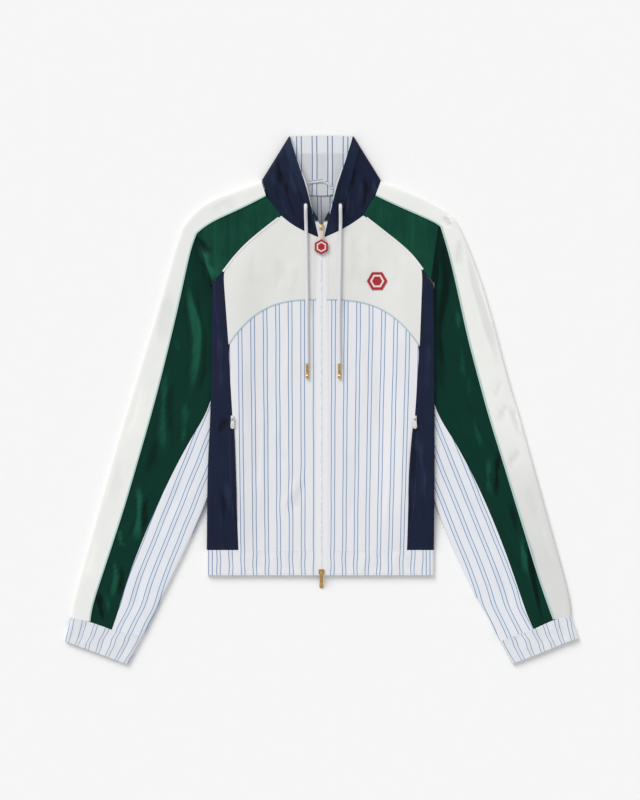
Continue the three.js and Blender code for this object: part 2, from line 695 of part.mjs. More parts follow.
// A flat shape extruded upwards, with its lower face at zero
function slab(outline, height, holes = []) {
  const shape = new THREE.Shape(outline.map(([x, y]) => new THREE.Vector2(x, y)));
  for (const hole of holes) {
    shape.holes.push(new THREE.Path(hole.map(([x, y]) => new THREE.Vector2(x, y))));
  }
  return new THREE.ExtrudeGeometry(shape, { depth: height, bevelEnabled: false });
}

function toManifold(geometry) {
  const bare = geometry.clone();
  bare.deleteAttribute('normal');
  bare.deleteAttribute('uv');
  const merged = mergeVertices(bare, 1e-4);
  return new wasm.Manifold(new wasm.Mesh({
    numProp: 3,
    vertProperties: new Float32Array(merged.attributes.position.array),
    triVerts: new Uint32Array(merged.index.array),
  }));
}

function fromManifold(solid) {
  const { vertProperties, triVerts } = solid.getMesh();
  const geometry = new THREE.BufferGeometry();
  geometry.setAttribute('position', new THREE.BufferAttribute(new Float32Array(vertProperties), 3));
  geometry.setIndex(new THREE.BufferAttribute(new Uint32Array(triVerts), 1));
  geometry.computeVertexNormals();
  return geometry;
}

// A zip slider: a tapered plate and an upright eye that its pull hangs in. Its hinge line runs
// across, at the middle of the eye.
const EYE_OUTER = 2.5;
const EYE_HOLE = 1.35;
const EYE_HALF_THICK = 0.8;
const EYE_HEIGHT = 2.4;
const ROUND_STEPS = 12;

function arc(centre, radius, from, to, steps) {
  return Array.from({ length: steps + 1 }, (_, i) => {
    const angle = mix(from, to, i / steps);
    return [centre[0] + radius * Math.cos(angle), centre[1] + radius * Math.sin(angle)];
  });
}

function makeSlider(name, { hinge, plate, material }) {
  const { half, back, front, thick } = plate;
  const taper = 0.6;
  const outline = [[-half, back], [-half, front * 0.3], [-half * taper, front], [half * taper, front],
    [half, front * 0.3], [half, back]];
  const base = slab(outline, thick);
  base.translate(0, 0, -EYE_HEIGHT - thick);
  const root = [[EYE_OUTER, -EYE_HEIGHT - thick / 2], ...arc([0, 0], EYE_OUTER, 0, Math.PI, ROUND_STEPS / 2),
    [-EYE_OUTER, -EYE_HEIGHT - thick / 2]];
  const hole = arc([0, 0], EYE_HOLE, 0, Math.PI * 2, ROUND_STEPS).slice(0, -1);
  const eye = slab(root, EYE_HALF_THICK * 2, [hole]);
  eye.translate(0, 0, -EYE_HALF_THICK);
  eye.rotateX(Math.PI / 2);
  eye.rotateZ(Math.PI / 2);
  const mesh = addMesh(name, fromManifold(toManifold(base).add(toManifold(eye))), material);
  mesh.position.set(...hinge);
}

// A pull's frame round the eye, then its tab: the bar in the eye is the hinge
const BAR_HALF = 0.8;
const FRAME_HOLE_HALF = 1.5;
const FRAME_HOLE_END = -4;
const PULL_THICK = 1.2;

function pullGeometry(outline) {
  const hole = [[-FRAME_HOLE_HALF, -BAR_HALF], [FRAME_HOLE_HALF, -BAR_HALF],
    [FRAME_HOLE_HALF, FRAME_HOLE_END], [-FRAME_HOLE_HALF, FRAME_HOLE_END]];
  const geometry = slab(outline, PULL_THICK, [hole]);
  geometry.translate(0, 0, -PULL_THICK / 2);
  return geometry;
}

function hangPull(hinge, tilt) {
  const pull = new THREE.Group();
  pull.position.set(...hinge);
  pull.rotation.x = THREE.MathUtils.degToRad(tilt);
  jacket.add(pull);
  return pull;
}

const TOP_HINGE = [0, 254, 16.8];
const TOP_TILT = 6;
const BOTTOM_HINGE = [0, -255, 12];
const BOTTOM_TILT = 26;
const POCKET_UP = -26;
const POCKET_TILT = 5.5;
const POCKET_HINGE_ABOVE = 3.9;
const BADGE_RADIUS = 11.2;
const STRAP = { start: -5.6, end: -17.6, half: 2.3, thick: 1.4 };
const BADGE_THICK = 1.8;

function makeMainPulls() {
  makeSlider('slider_top', {
    hinge: TOP_HINGE,
    plate: { half: 3.8, back: 3.8, front: -4, thick: 1.8 },
    material: BRASS,
  });
  const top = hangPull(TOP_HINGE, TOP_TILT);
  addMesh('pull_top_frame', pullGeometry([[-2.8, 0.8], [-2.8, -5.3], [2.8, -5.3], [2.8, 0.8]]), BRASS, top);
  const strap = slab([[-STRAP.half, STRAP.start], [-STRAP.half, STRAP.end], [STRAP.half, STRAP.end],
    [STRAP.half, STRAP.start]], STRAP.thick);
  strap.translate(0, 0, -STRAP.thick / 2);
  addMesh('pull_top_strap', strap, CREAM, top);
  const centre = [0, STRAP.end - REST_GAP - BADGE_RADIUS];
  const corners = arc(centre, BADGE_RADIUS, Math.PI / 2, Math.PI * 2.5, BADGE_SIDES).slice(0, -1);
  const badge = slab(corners, BADGE_THICK);
  badge.translate(0, 0, -BADGE_THICK / 2);
  addMesh('pull_top_badge', badge, RED, top);

  makeSlider('slider_bottom', {
    hinge: BOTTOM_HINGE,
    plate: { half: 4, back: 6, front: -2, thick: 1.8 },
    material: BRASS,
  });
  const bottom = hangPull(BOTTOM_HINGE, BOTTOM_TILT);
  const tab = [[-2.4, 0.8], [-2.4, -9], [-3, -20], ...arc([0, -22], 3, Math.PI, Math.PI * 2, 6), [3, -20],
    [2.4, -9], [2.4, 0.8]];
  addMesh('pull_bottom', pullGeometry(tab), BRASS, bottom);
}

// Pocket zips in the seams between the fronts and the side panels, closed at the top
const POCKET_ZIP = { top: -31, bottom: -177, half: 1.6, height: 1 };

function makePocket(side) {
  const seam = (up) => bodyAt('seam', side, up);
  const levels = Array.from({ length: 7 }, (_, i) => mix(POCKET_ZIP.top, POCKET_ZIP.bottom, i / 6));
  const line = levels.map((up) => [SIDES[side] * seam(up), up, body.top(seam(up), up) + SEAM / 2]);
  addStrip(`pocket_zip_${side}`, line, NAVY, { half: POCKET_ZIP.half, height: POCKET_ZIP.height });
  const height = body.top(seam(POCKET_UP), POCKET_UP);
  const hinge = [SIDES[side] * seam(POCKET_UP), POCKET_UP, height + POCKET_HINGE_ABOVE];
  makeSlider(`pocket_slider_${side}`, {
    hinge,
    plate: { half: 2.4, back: 3, front: -3, thick: 1.1 },
    material: TAPE,
  });
  const pull = hangPull(hinge, POCKET_TILT);
  const drop = [[-2.3, 0.8], [-2.3, -5], [-2.9, -11], ...arc([0, -13.5], 3, Math.PI, Math.PI * 2, 6),
    [2.9, -11], [2.3, -5], [2.3, 0.8]];
  addMesh(`pocket_pull_${side}`, pullGeometry(drop), TAPE, pull);
}

// Places on the folded-over collar front, found from how far across and up they are
function onFlap(side, across, up) {
  const rise = (up - COLLAR_FRONT_LOW[1]) / (COLLAR_FRONT_TOP[1] - COLLAR_FRONT_LOW[1]);
  const frontAcross = flapSpot(side, rise, 1)[0];
  const foldAcross = flapSpot(side, rise, 0)[0];
  const front = 1 - (across - frontAcross) / (foldAcross - frontAcross);
  return flapHeight(rise, front);
}

const EYELETS = { left: [23, 286], right: [28, 286] };
const EYELET_RING = { inner: 3.2, outer: 4.8, height: 1.1, above: 0.7 };

function flapNormal(side, [across, up]) {
  const step = 2;
  const slopeAcross = (onFlap(side, across + step, up) - onFlap(side, across - step, up)) / (2 * step);
  const slopeUp = (onFlap(side, across, up + step) - onFlap(side, across, up - step)) / (2 * step);
  return new THREE.Vector3(-SIDES[side] * slopeAcross, -slopeUp, 1).normalize();
}

function makeEyelet(side) {
  const { inner, outer, height, above } = EYELET_RING;
  const profile = [[inner, 0], [outer, 0], [outer - 0.4, height], [inner + 0.4, height], [inner, 0]];
  const ring = new THREE.LatheGeometry(profile.map(([x, y]) => new THREE.Vector2(x, y)), 16);
  ring.rotateX(Math.PI / 2);
  const mesh = addMesh(`eyelet_${side}`, ring, NAVY);
  const normal = flapNormal(side, EYELETS[side]);
  mesh.quaternion.setFromUnitVectors(new THREE.Vector3(0, 0, 1), normal);
  const [across, up] = EYELETS[side];
  mesh.position.copy(place(side, [across, up, onFlap(side, across, up)]).addScaledVector(normal, above));
}

// Drawcords: out of the collar's eyelets, down over the yoke and the chest seam, to their metal tips
const CORDS = {
  left: [
    [-23, 286, 20.2], [-23, 284.9, 22.4], [-23, 282.4, 24.1], [-23, 279, 23.8], [-22.9, 274, 21.8],
    [-22.8, 268, 19.3], [-22.6, 262, 16.9], [-22.4, 255, 14.9], [-22.2, 247, 13.8], [-22, 238, 13.4],
    [-21.8, 225, 13.4], [-21.6, 212, 13.3], [-21.4, 198, 13], [-21.2, 183, 12.1], [-21, 168, 11.2],
    [-20.9, 156, 11], [-20.9, 145, 11.4], [-21, 134, 10.6], [-21.1, 120, 9.8], [-21.1, 104, 9.8],
    [-20.9, 88, 9.8], [-20.7, 70, 9.8], [-20.6, 53, 9.8],
  ],
  right: [
    [28, 286, 19], [28, 284.9, 21.2], [28, 282.4, 22.9], [28, 279, 22.7], [28.1, 274, 20.9],
    [28.2, 268, 18.7], [28.2, 262, 16.6], [28.1, 255, 14.9], [28, 247, 13.8], [27.9, 238, 13.4],
    [27.8, 225, 13.4], [27.7, 212, 13.3], [27.5, 198, 13], [27.3, 183, 12.1], [27, 168, 11.2],
    [26.7, 156, 11], [26.4, 145, 11.4], [26.2, 134, 10.6], [26.1, 120, 9.8], [26.1, 104, 9.8],
    [26.2, 88, 9.8], [26.4, 70, 9.8], [26.6, 53, 9.8],
  ],
};
const CORD_STEPS = 26;

function makeCord(side) {
  const route = new THREE.CatmullRomCurve3(CORDS[side].map((point) => new THREE.Vector3(...point)));
  const section = new THREE.Shape(arc([0, 0], CORD_RADIUS, 0, Math.PI * 2, 8).slice(0, -1)
    .map(([x, y]) => new THREE.Vector2(x, y)));
  const tube = new THREE.ExtrudeGeometry(section, { steps: CORD_STEPS, extrudePath: route });
  addMesh(`drawcord_${side}`, tube, CORD_WHITE);
  const end = CORDS[side][CORDS[side].length - 1];
  const profile = [[0, 0], [TIP_RADIUS, 0], [TIP_RADIUS, 3], [TIP_RADIUS - 0.4, 3.6], [TIP_RADIUS - 0.4, 16],
    [TIP_RADIUS, 17], [TIP_RADIUS, TIP_LENGTH - 0.8], [TIP_RADIUS - 0.7, TIP_LENGTH], [0, TIP_LENGTH]];
  const tip = new THREE.LatheGeometry(profile.map(([x, y]) => new THREE.Vector2(x, y)), 10);
  tip.rotateX(Math.PI);
  const mesh = addMesh(`cord_tip_${side}`, tip, BRASS);
  mesh.position.set(end[0], end[1] - REST_GAP, end[2]);
}

// The loop inside the neck that the jacket hangs by, lying on the inner collar
const LOOP_LINE = [[-24, 303], [-24.5, 311], [-22, 318], [-14, 322], [-4, 323], [6, 322], [13, 318],
  [15.5, 311], [15, 303]];
const LOOP_HALF = 2.3;
const LOOP_HEIGHT = 1;

function makeLoop() {
  const height = 2 * WALL + REST_GAP;
  const line = LOOP_LINE.map(([x, y]) => [x, y, height]);
  addStrip('hanger_loop', line, TAPE, { half: LOOP_HALF, height: LOOP_HEIGHT });
}

// A small six-sided patch stitched on the right chest
function makePatch() {
  const rows = [-1, -0.5, 0, 0.5, 1];
  const grid = rows.map((row) => {
    const half = PATCH_RADIUS * (1 - Math.abs(row) / 2);
    return [-1, -0.5, 0, 0.5, 1].map((column) => {
      const up = PATCH_CENTRE[1] - row * PATCH_RADIUS * Math.cos(Math.PI / BADGE_SIDES);
      const spot = [PATCH_CENTRE[0] + column * half, up];
      return place('right', [...spot, body.top(...spot) + REST_GAP * 2 + PATCH_HEIGHT]);
    });
  });
  addWall('chest_patch', grid, RED, { thick: PATCH_HEIGHT });
}

makeBack();
for (const side of Object.keys(SIDES)) {
  makeFront(side);
  makeSide(side);
  makeSleeve(side);
  makeCuff(side);
  makeTape(side);
  makePocket(side);
  makeEyelet(side);
  makeCord(side);
}
makeHem();
makeCollar();
makeTeeth();
makeMainPulls();
makeLoop();
makePatch();

export default jacket;
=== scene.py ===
"""A track jacket lying flat on its back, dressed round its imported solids. Metres, +Z up, +Y to the collar."""

import math

import bmesh
import bpy
import numpy as np
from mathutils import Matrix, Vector
from mathutils.bvhtree import BVHTree


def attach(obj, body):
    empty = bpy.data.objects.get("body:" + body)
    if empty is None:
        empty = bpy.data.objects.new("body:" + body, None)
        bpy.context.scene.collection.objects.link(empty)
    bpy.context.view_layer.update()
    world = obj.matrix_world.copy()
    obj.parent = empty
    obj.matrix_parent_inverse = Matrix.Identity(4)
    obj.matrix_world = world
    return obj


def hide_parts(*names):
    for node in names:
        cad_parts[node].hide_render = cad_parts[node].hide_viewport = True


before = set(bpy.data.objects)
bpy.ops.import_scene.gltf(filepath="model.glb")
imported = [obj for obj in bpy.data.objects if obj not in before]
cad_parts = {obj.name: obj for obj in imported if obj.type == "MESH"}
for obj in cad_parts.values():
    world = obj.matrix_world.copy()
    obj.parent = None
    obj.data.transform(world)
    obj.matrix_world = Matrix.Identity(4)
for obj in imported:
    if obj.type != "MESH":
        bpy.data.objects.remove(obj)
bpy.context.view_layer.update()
MM = 0.001
SIDES = {"left": -1, "right": 1}

# How the layers lie, as in the solids: the body's sides ride up over the sleeves, fading in across the
# body and from its upper and lower ends
BODY_LIFT = 7.1 * MM
LIFT_ACROSS = (0.074, 0.127)
LIFT_ABOVE = (0.172, 0.248)
LIFT_BELOW = (-0.214, -0.160)

# Half the gap that the solids leave at a seam
HALF_SEAM = 0.21 * MM

# Turns, in degrees, past which an edge stays sharp: before and after smoothing, and on hard pieces
CREASE_ANGLE = 55
RIM_ANGLE = 48
HARD_RIM_ANGLE = 35

# Camera: straight above, far off, with the photograph's field of view
CAMERA_HEIGHT = 3.4
VIEW_LONG = 1.18
VIEW_CENTRE = (-0.002, 0.0)
SENSOR = 36.0
CAMERA_FAR = 20

# Light and floor
KEY_FROM = (-0.55, 0.85, 0.72)
KEY_POWER = 1.93
KEY_SOFTNESS = 32
SURROUND = 0.62
FLOOR_WIDE = 8
FLOOR_TINT = (248, 248, 248)

# Drawcords
CORD_RADIUS = 2.5 * MM
CORD_STEP = 2.2 * MM
CORD_ROUTES = {
    "left": [
        (-23, 286, 20.2), (-23, 284.9, 22.4), (-23, 282.4, 24.1), (-23, 279, 23.8), (-22.9, 274, 21.8),
        (-22.8, 268, 19.3), (-22.6, 262, 16.9), (-22.4, 255, 14.9), (-22.2, 247, 13.8), (-22, 238, 13.4),
        (-21.8, 225, 13.4), (-21.6, 212, 13.3), (-21.4, 198, 13), (-21.2, 183, 12.1), (-21, 168, 11.2),
        (-20.9, 156, 11), (-20.9, 145, 11.4), (-21, 134, 10.6), (-21.1, 120, 9.8), (-21.1, 104, 9.8),
        (-20.9, 88, 9.8), (-20.7, 70, 9.8), (-20.6, 53, 9.8),
    ],
    "right": [
        (28, 286, 19), (28, 284.9, 21.2), (28, 282.4, 22.9), (28, 279, 22.7), (28.1, 274, 20.9),
        (28.2, 268, 18.7), (28.2, 262, 16.6), (28.1, 255, 14.9), (28, 247, 13.8), (27.9, 238, 13.4),
        (27.8, 225, 13.4), (27.7, 212, 13.3), (27.5, 198, 13), (27.3, 183, 12.1), (27, 168, 11.2),
        (26.7, 156, 11), (26.4, 145, 11.4), (26.2, 134, 10.6), (26.1, 120, 9.8), (26.1, 104, 9.8),
        (26.2, 88, 9.8), (26.4, 70, 9.8), (26.6, 53, 9.8),
    ],
}


# Small helpers

def ramp(value, low, high):
    """0 below low and 1 above high, smooth between."""
    t = np.clip((np.asarray(value, float) - low) / (high - low), 0, 1)
    return t * t * (3 - 2 * t)


def body_low(x, y):
    """How high the lower layer of the body lies where its sides ride up over the sleeves."""
    across = ramp(np.abs(x), *LIFT_ACROSS)
    above = 1 - ramp(y, *LIFT_ABOVE)
    below = ramp(y, *LIFT_BELOW)
    return BODY_LIFT * across * above * below


def points_of(obj):
    flat = np.empty(len(obj.data.vertices) * 3)
    obj.data.vertices.foreach_get("co", flat)
    return flat.reshape(-1, 3)


def set_points(obj, points):
    obj.data.vertices.foreach_set("co", np.ascontiguousarray(points, dtype=float).ravel())
    obj.data.update()


def link(name, mesh):
    obj = bpy.data.objects.new(name, mesh)
    bpy.context.scene.collection.objects.link(obj)
    return obj


def plain_mesh(obj):
    """The object with its modifiers turned into its mesh."""
    bpy.context.view_layer.update()
    evaluated = obj.evaluated_get(bpy.context.evaluated_depsgraph_get())
    mesh = bpy.data.meshes.new_from_object(evaluated)
    obj.modifiers.clear()
    old = obj.data
    obj.data = mesh
    bpy.data.meshes.remove(old)
    return obj


def smooth_path(points, steps):
    """A Catmull-Rom line through three points or more."""
    points = np.array(points, float)
    padded = np.vstack([2 * points[0] - points[1], points, 2 * points[-1] - points[-2]])
    line = []
    for a, b, c, d in zip(padded, padded[1:], padded[2:], padded[3:]):
        for t in np.arange(steps) / steps:
            line.append(0.5 * (2 * b + (c - a) * t + (2 * a - 5 * b + 4 * c - d) * t**2
                               + (3 * b - a - 3 * c + d) * t**3))
    return np.array(line + [points[-1]])


def spaced_path(points, step):
    """The smooth line again, with equal steps along it."""
    line = smooth_path(points, 12)
    along = np.r_[0, np.cumsum(np.linalg.norm(np.diff(line, axis=0), axis=1))]
    at = np.linspace(0, along[-1], max(int(round(along[-1] / step)), 2) + 1)
    return np.stack([np.interp(at, along, line[:, k]) for k in range(line.shape[1])], axis=1)


# Camera, light and floor

def make_camera():
    camera = bpy.data.objects.new("camera", bpy.data.cameras.new("camera"))
    bpy.context.scene.collection.objects.link(camera)
    camera.data.sensor_width = SENSOR
    camera.data.lens = SENSOR * CAMERA_HEIGHT / VIEW_LONG
    camera.data.clip_end = CAMERA_FAR
    camera.location = (*VIEW_CENTRE, CAMERA_HEIGHT)
    bpy.context.scene.camera = camera


def make_studio():
    key = bpy.data.objects.new("key", bpy.data.lights.new("key", "SUN"))
    key.data.energy = KEY_POWER
    key.data.angle = math.radians(KEY_SOFTNESS)
    key.rotation_mode = "QUATERNION"
    key.rotation_quaternion = Vector(KEY_FROM).to_track_quat("Z", "Y")
    bpy.context.scene.collection.objects.link(key)
    world = bpy.data.worlds.new("studio")
    world.use_nodes = True
    world.node_tree.nodes["Background"].inputs["Color"].default_value = (1, 1, 1, 1)
    world.node_tree.nodes["Background"].inputs["Strength"].default_value = SURROUND
    bpy.context.scene.world = world
    bpy.context.scene.view_settings.view_transform = "Standard"
    bpy.ops.mesh.primitive_plane_add(size=FLOOR_WIDE)
    floor = bpy.context.object
    floor.name = "floor"
    floor.data.materials.append(paper_material())


# Shader parts

class Shader:
    """A node tree with short calls for adding and joining nodes."""

    def __init__(self, tree):
        self.tree = tree

    def node(self, kind, inputs=(), **settings):
        made = self.tree.nodes.new(kind)
        for key, value in settings.items():
            setattr(made, key, value)
        for key, value in dict(inputs).items():
            if isinstance(value, bpy.types.NodeSocket):
                self.tree.links.new(value, made.inputs[key])
            else:
                made.inputs[key].default_value = value
        return made

    def math(self, operation, a, b=0.0, c=0.0):
        return self.node("ShaderNodeMath", {0: a, 1: b, 2: c}, operation=operation).outputs[0]

    def mix(self, share, a, b):
        made = self.node("ShaderNodeMix", {"Factor": share, 6: a, 7: b}, data_type="RGBA")
        return made.outputs[2]

    def step(self, value, low, high):
        """0 below low and 1 above high, smooth between."""
        made = self.node(
            "ShaderNodeMapRange",
            {"Value": value, "From Min": low, "From Max": high},
            interpolation_type="SMOOTHSTEP",
        )
        return made.outputs["Result"]


def new_group(name, inputs, outputs):
    """An empty node group: inputs and outputs are name to kind, or to kind and default."""
    group = bpy.data.node_groups.new(name, "ShaderNodeTree")
    for direction, sockets in (("INPUT", inputs), ("OUTPUT", outputs)):
        for key, value in sockets.items():
            kind, default = value if isinstance(value, tuple) else (value, None)
            socket = group.interface.new_socket(key, in_out=direction, socket_type=kind)
            if default is not None:
                socket.default_value = default
    shader = Shader(group)
    return group, shader, shader.node("NodeGroupInput"), shader.node("NodeGroupOutput")


FLOAT, COLOUR, VECTOR = "NodeSocketFloat", "NodeSocketColor", "NodeSocketVector"


def weave_group():
    """Woven threads: a height for bump, and a faint colour value for each thread."""
    group, s, given, out = new_group(
        "weave",
        {"Vector": VECTOR, "Threads": (FLOAT, 2500.0), "Fray": (FLOAT, 0.3)},
        {"Height": FLOAT, "Shade": FLOAT},
    )
    scaled = s.node("ShaderNodeVectorMath", {0: given.outputs["Vector"]}, operation="SCALE")
    s.tree.links.new(given.outputs["Threads"], scaled.inputs["Scale"])
    axes = s.node("ShaderNodeSeparateXYZ", {0: scaled.outputs[0]})
    warp = s.math("ABSOLUTE", s.math("SINE", axes.outputs["X"]))
    weft = s.math("ABSOLUTE", s.math("SINE", axes.outputs["Y"]))
    cloth = s.math("MULTIPLY", s.math("ADD", warp, weft), 0.5)
    rough = s.node("ShaderNodeTexNoise", {"Vector": given.outputs["Vector"], "Scale": 900.0, "Detail": 3.0})
    frayed = s.math("MULTIPLY", rough.outputs["Fac"], given.outputs["Fray"])
    s.tree.links.new(s.math("ADD", cloth, frayed), out.inputs["Height"])
    broad = s.node("ShaderNodeTexNoise", {"Vector": given.outputs["Vector"], "Scale": 28.0, "Detail": 4.0})
    s.tree.links.new(broad.outputs["Fac"], out.inputs["Shade"])
    return group


def drape_group():
    """Painted highlight on the ridges and painted shade in the hollows of shiny cloth, from the fold heights
    and the painted light and shade kept on the piece.
    """
    group, s, given, out = new_group(
        "drape",
        {"Fold": FLOAT, "Shade": FLOAT, "Deep": COLOUR, "Plain": COLOUR, "Bright": COLOUR,
         "Cloud": (FLOAT, 0.3)},
        {"Color": COLOUR},
    )
    centred = s.math("SUBTRACT", given.outputs["Shade"], 0.5)
    fold = s.math("ADD", given.outputs["Fold"], s.math("MULTIPLY", centred, given.outputs["Cloud"]))
    dark = s.mix(s.step(fold, -1.1, 0.05), given.outputs["Deep"], given.outputs["Plain"])
    s.tree.links.new(s.mix(s.step(fold, 0.0, 1.2), dark, given.outputs["Bright"]), out.inputs["Color"])
    return group


def streak_group():
    """Long soft streaks of light along shiny cloth, from -1 to 1, across the map's first axis."""
    group, s, given, out = new_group(
        "streaks", {"Vector": VECTOR, "Fine": (FLOAT, 95.0), "Long": (FLOAT, 9.0)}, {"Streak": FLOAT})
    axes = s.node("ShaderNodeSeparateXYZ", {0: given.outputs["Vector"]})
    across = s.math("MULTIPLY", axes.outputs["X"], given.outputs["Fine"])
    along = s.math("MULTIPLY", axes.outputs["Y"], given.outputs["Long"])
    place = s.node("ShaderNodeCombineXYZ", {0: across, 1: along, 2: 0.0})
    noise = s.node("ShaderNodeTexNoise", {"Vector": place.outputs[0], "Scale": 1.0, "Detail": 3.0,
                                          "Roughness": 0.6, "Distortion": 0.6})
    shaped = s.math("MULTIPLY", s.math("SUBTRACT", noise.outputs["Fac"], 0.5), 3.4)
    s.tree.links.new(shaped, out.inputs["Streak"])
    return group


def stripe_group():
    """Pairs of thin lines with a hatched pale band between them, every Pitch across the cloth."""
    group, s, given, out = new_group(
        "stripes",
        {"Vector": VECTOR, "Pitch": (FLOAT, 0.0184), "Start": FLOAT, "Apart": (FLOAT, 0.0055),
         "Line": (FLOAT, 0.0011), "Hatch": (FLOAT, 0.5)},
        {"Lines": FLOAT, "Band": FLOAT},
    )
    axes = s.node("ShaderNodeSeparateXYZ", {0: given.outputs["Vector"]})
    across, along = axes.outputs["X"], axes.outputs["Y"]
    waver = s.node("ShaderNodeTexNoise", {"Vector": given.outputs["Vector"], "Scale": 16.0, "Detail": 1.0})
    drift = s.math("MULTIPLY", s.math("SUBTRACT", waver.outputs["Fac"], 0.5), 0.0016)
    moved = s.math("ADD", s.math("SUBTRACT", across, given.outputs["Start"]), drift)
    turns = s.math("DIVIDE", moved, given.outputs["Pitch"])
    cell = s.math("SUBTRACT", s.math("FRACT", s.math("ADD", turns, 0.5)), 0.5)
    offset = s.math("ABSOLUTE", s.math("MULTIPLY", cell, given.outputs["Pitch"]))
    half = s.math("MULTIPLY", given.outputs["Apart"], 0.5)
    from_line = s.math("ABSOLUTE", s.math("SUBTRACT", offset, half))
    edge = s.math("MULTIPLY", given.outputs["Line"], 0.5)
    lines = s.math("SUBTRACT", 1.0, s.math("SMOOTH_MAX", 0.0, s.math("DIVIDE", from_line, edge), 0.2))
    sharp = s.step(lines, 0.0, 0.35)
    s.tree.links.new(sharp, out.inputs["Lines"])
    inside = s.math("LESS_THAN", offset, half)
    slant = s.math("SINE", s.math("MULTIPLY", s.math("ADD", moved, along), 2600.0))
    hatch = s.math("ADD", 0.5, s.math("MULTIPLY", slant, 0.5))
    plain = s.math("SUBTRACT", 1.0, given.outputs["Hatch"])
    shown = s.math("ADD", plain, s.math("MULTIPLY", hatch, given.outputs["Hatch"]))
    s.tree.links.new(s.math("MULTIPLY", inside, shown), out.inputs["Band"])
    return group


GROUPS = {}


def group_node(s, name, inputs):
    makers = {"weave": weave_group, "drape": drape_group, "stripes": stripe_group, "wear": wear_group,
              "six_sided": six_sided_group, "streaks": streak_group}
    if name not in GROUPS:
        GROUPS[name] = makers[name]()
    made = s.node("ShaderNodeGroup", node_tree=GROUPS[name])
    for key, value in inputs.items():
        if isinstance(value, bpy.types.NodeSocket):
            s.tree.links.new(value, made.inputs[key])
        else:
            made.inputs[key].default_value = value
    return made


def wear_group():
    """Fine scratches and soft smears for metal and moulded pieces."""
    group, s, given, out = new_group(
        "wear",
        {"Vector": VECTOR, "Fine": (FLOAT, 2200.0), "Broad": (FLOAT, 160.0)},
        {"Mask": FLOAT, "Height": FLOAT},
    )
    broad = s.node("ShaderNodeTexNoise", {"Vector": given.outputs["Vector"], "Scale": given.outputs["Broad"],
                                          "Detail": 4.0})
    fine = s.node("ShaderNodeTexNoise", {"Vector": given.outputs["Vector"], "Scale": given.outputs["Fine"],
                                         "Detail": 5.0, "Roughness": 0.7})
    s.tree.links.new(s.step(broad.outputs["Fac"], 0.35, 0.7), out.inputs["Mask"])
    s.tree.links.new(fine.outputs["Fac"], out.inputs["Height"])
    return group


def six_sided_group():
    """How far a place on the patch is from its middle, measured to six flat sides, 1 at Reach."""
    group, s, given, out = new_group(
        "six sided", {"Vector": VECTOR, "Reach": (FLOAT, 0.013)}, {"Distance": FLOAT})
    axes = s.node("ShaderNodeSeparateXYZ", {0: given.outputs["Vector"]})
    x = s.math("ABSOLUTE", axes.outputs["X"])
    y = s.math("ABSOLUTE", axes.outputs["Y"])
    slanted = s.math("ADD", s.math("MULTIPLY", x, math.cos(math.pi / 6)), s.math("MULTIPLY", y, 0.5))
    far = s.math("MAXIMUM", slanted, y)
    s.tree.links.new(s.math("DIVIDE", far, given.outputs["Reach"]), out.inputs["Distance"])
    return group


def new_material(name):
    material = bpy.data.materials.new(name)
    material.use_nodes = True
    shader = Shader(material.node_tree)
    return material, shader, material.node_tree.nodes["Principled BSDF"]


def set_surface(surface, **values):
    for key, value in values.items():
        surface.inputs[key.replace("_", " ")].default_value = value


def bump(s, surface, height, distance, strength):
    made = s.node("ShaderNodeBump", {"Height": height, "Distance": distance, "Strength": strength})
    s.tree.links.new(made.outputs["Normal"], surface.inputs["Normal"])


def rgb(red, green, blue):
    """A colour given as it looks on a screen, out of 255."""
    def linear(value):
        value /= 255
        return value / 12.92 if value <= 0.04045 else ((value + 0.055) / 1.055) ** 2.4
    return (linear(red), linear(green), linear(blue), 1)


def paper_material():
    material, s, surface = new_material("floor paper")
    place = s.node("ShaderNodeTexCoord").outputs["Object"]
    grain = s.node("ShaderNodeTexNoise", {"Vector": place, "Scale": 40.0, "Detail": 5.0})
    tint = s.mix(grain.outputs["Fac"], rgb(*FLOOR_TINT), rgb(*[v + 2 for v in FLOOR_TINT]))
    s.tree.links.new(tint, surface.inputs["Base Color"])
    set_surface(surface, Roughness=0.95, Specular_IOR_Level=0.1)
    return material


def shiny_cloth(name, deep, plain, bright, roughness, sheen, cloud=0.5, threads=2600.0, fray=0.2,
                weave=0.00004, gloss=0.2, streaks=0.0):
    """Smooth woven cloth with painted light: a painted highlight on its ridges and painted shade in its
    hollows, from the kept fold values.
    """
    material, s, surface = new_material(name)
    place = s.node("ShaderNodeUVMap", uv_map="cloth").outputs["UV"]
    threads_of = group_node(s, "weave", {"Vector": place, "Threads": threads, "Fray": fray})
    fold = s.node("ShaderNodeAttribute", attribute_name="fold").outputs["Fac"]
    # Painted streaks of highlight along the cloth, added to the fold value
    if streaks:
        streak = group_node(s, "streaks", {"Vector": place}).outputs["Streak"]
        fold = s.math("ADD", fold, s.math("MULTIPLY", streak, streaks))
    tint = group_node(s, "drape", {"Fold": fold, "Shade": threads_of.outputs["Shade"], "Deep": deep,
                                   "Plain": plain, "Bright": bright, "Cloud": cloud})
    s.tree.links.new(tint.outputs["Color"], surface.inputs["Base Color"])
    set_surface(surface, Roughness=roughness, Specular_IOR_Level=gloss, Sheen_Weight=sheen,
                Sheen_Roughness=0.45)
    bump(s, surface, threads_of.outputs["Height"], weave, 0.6)
    return material


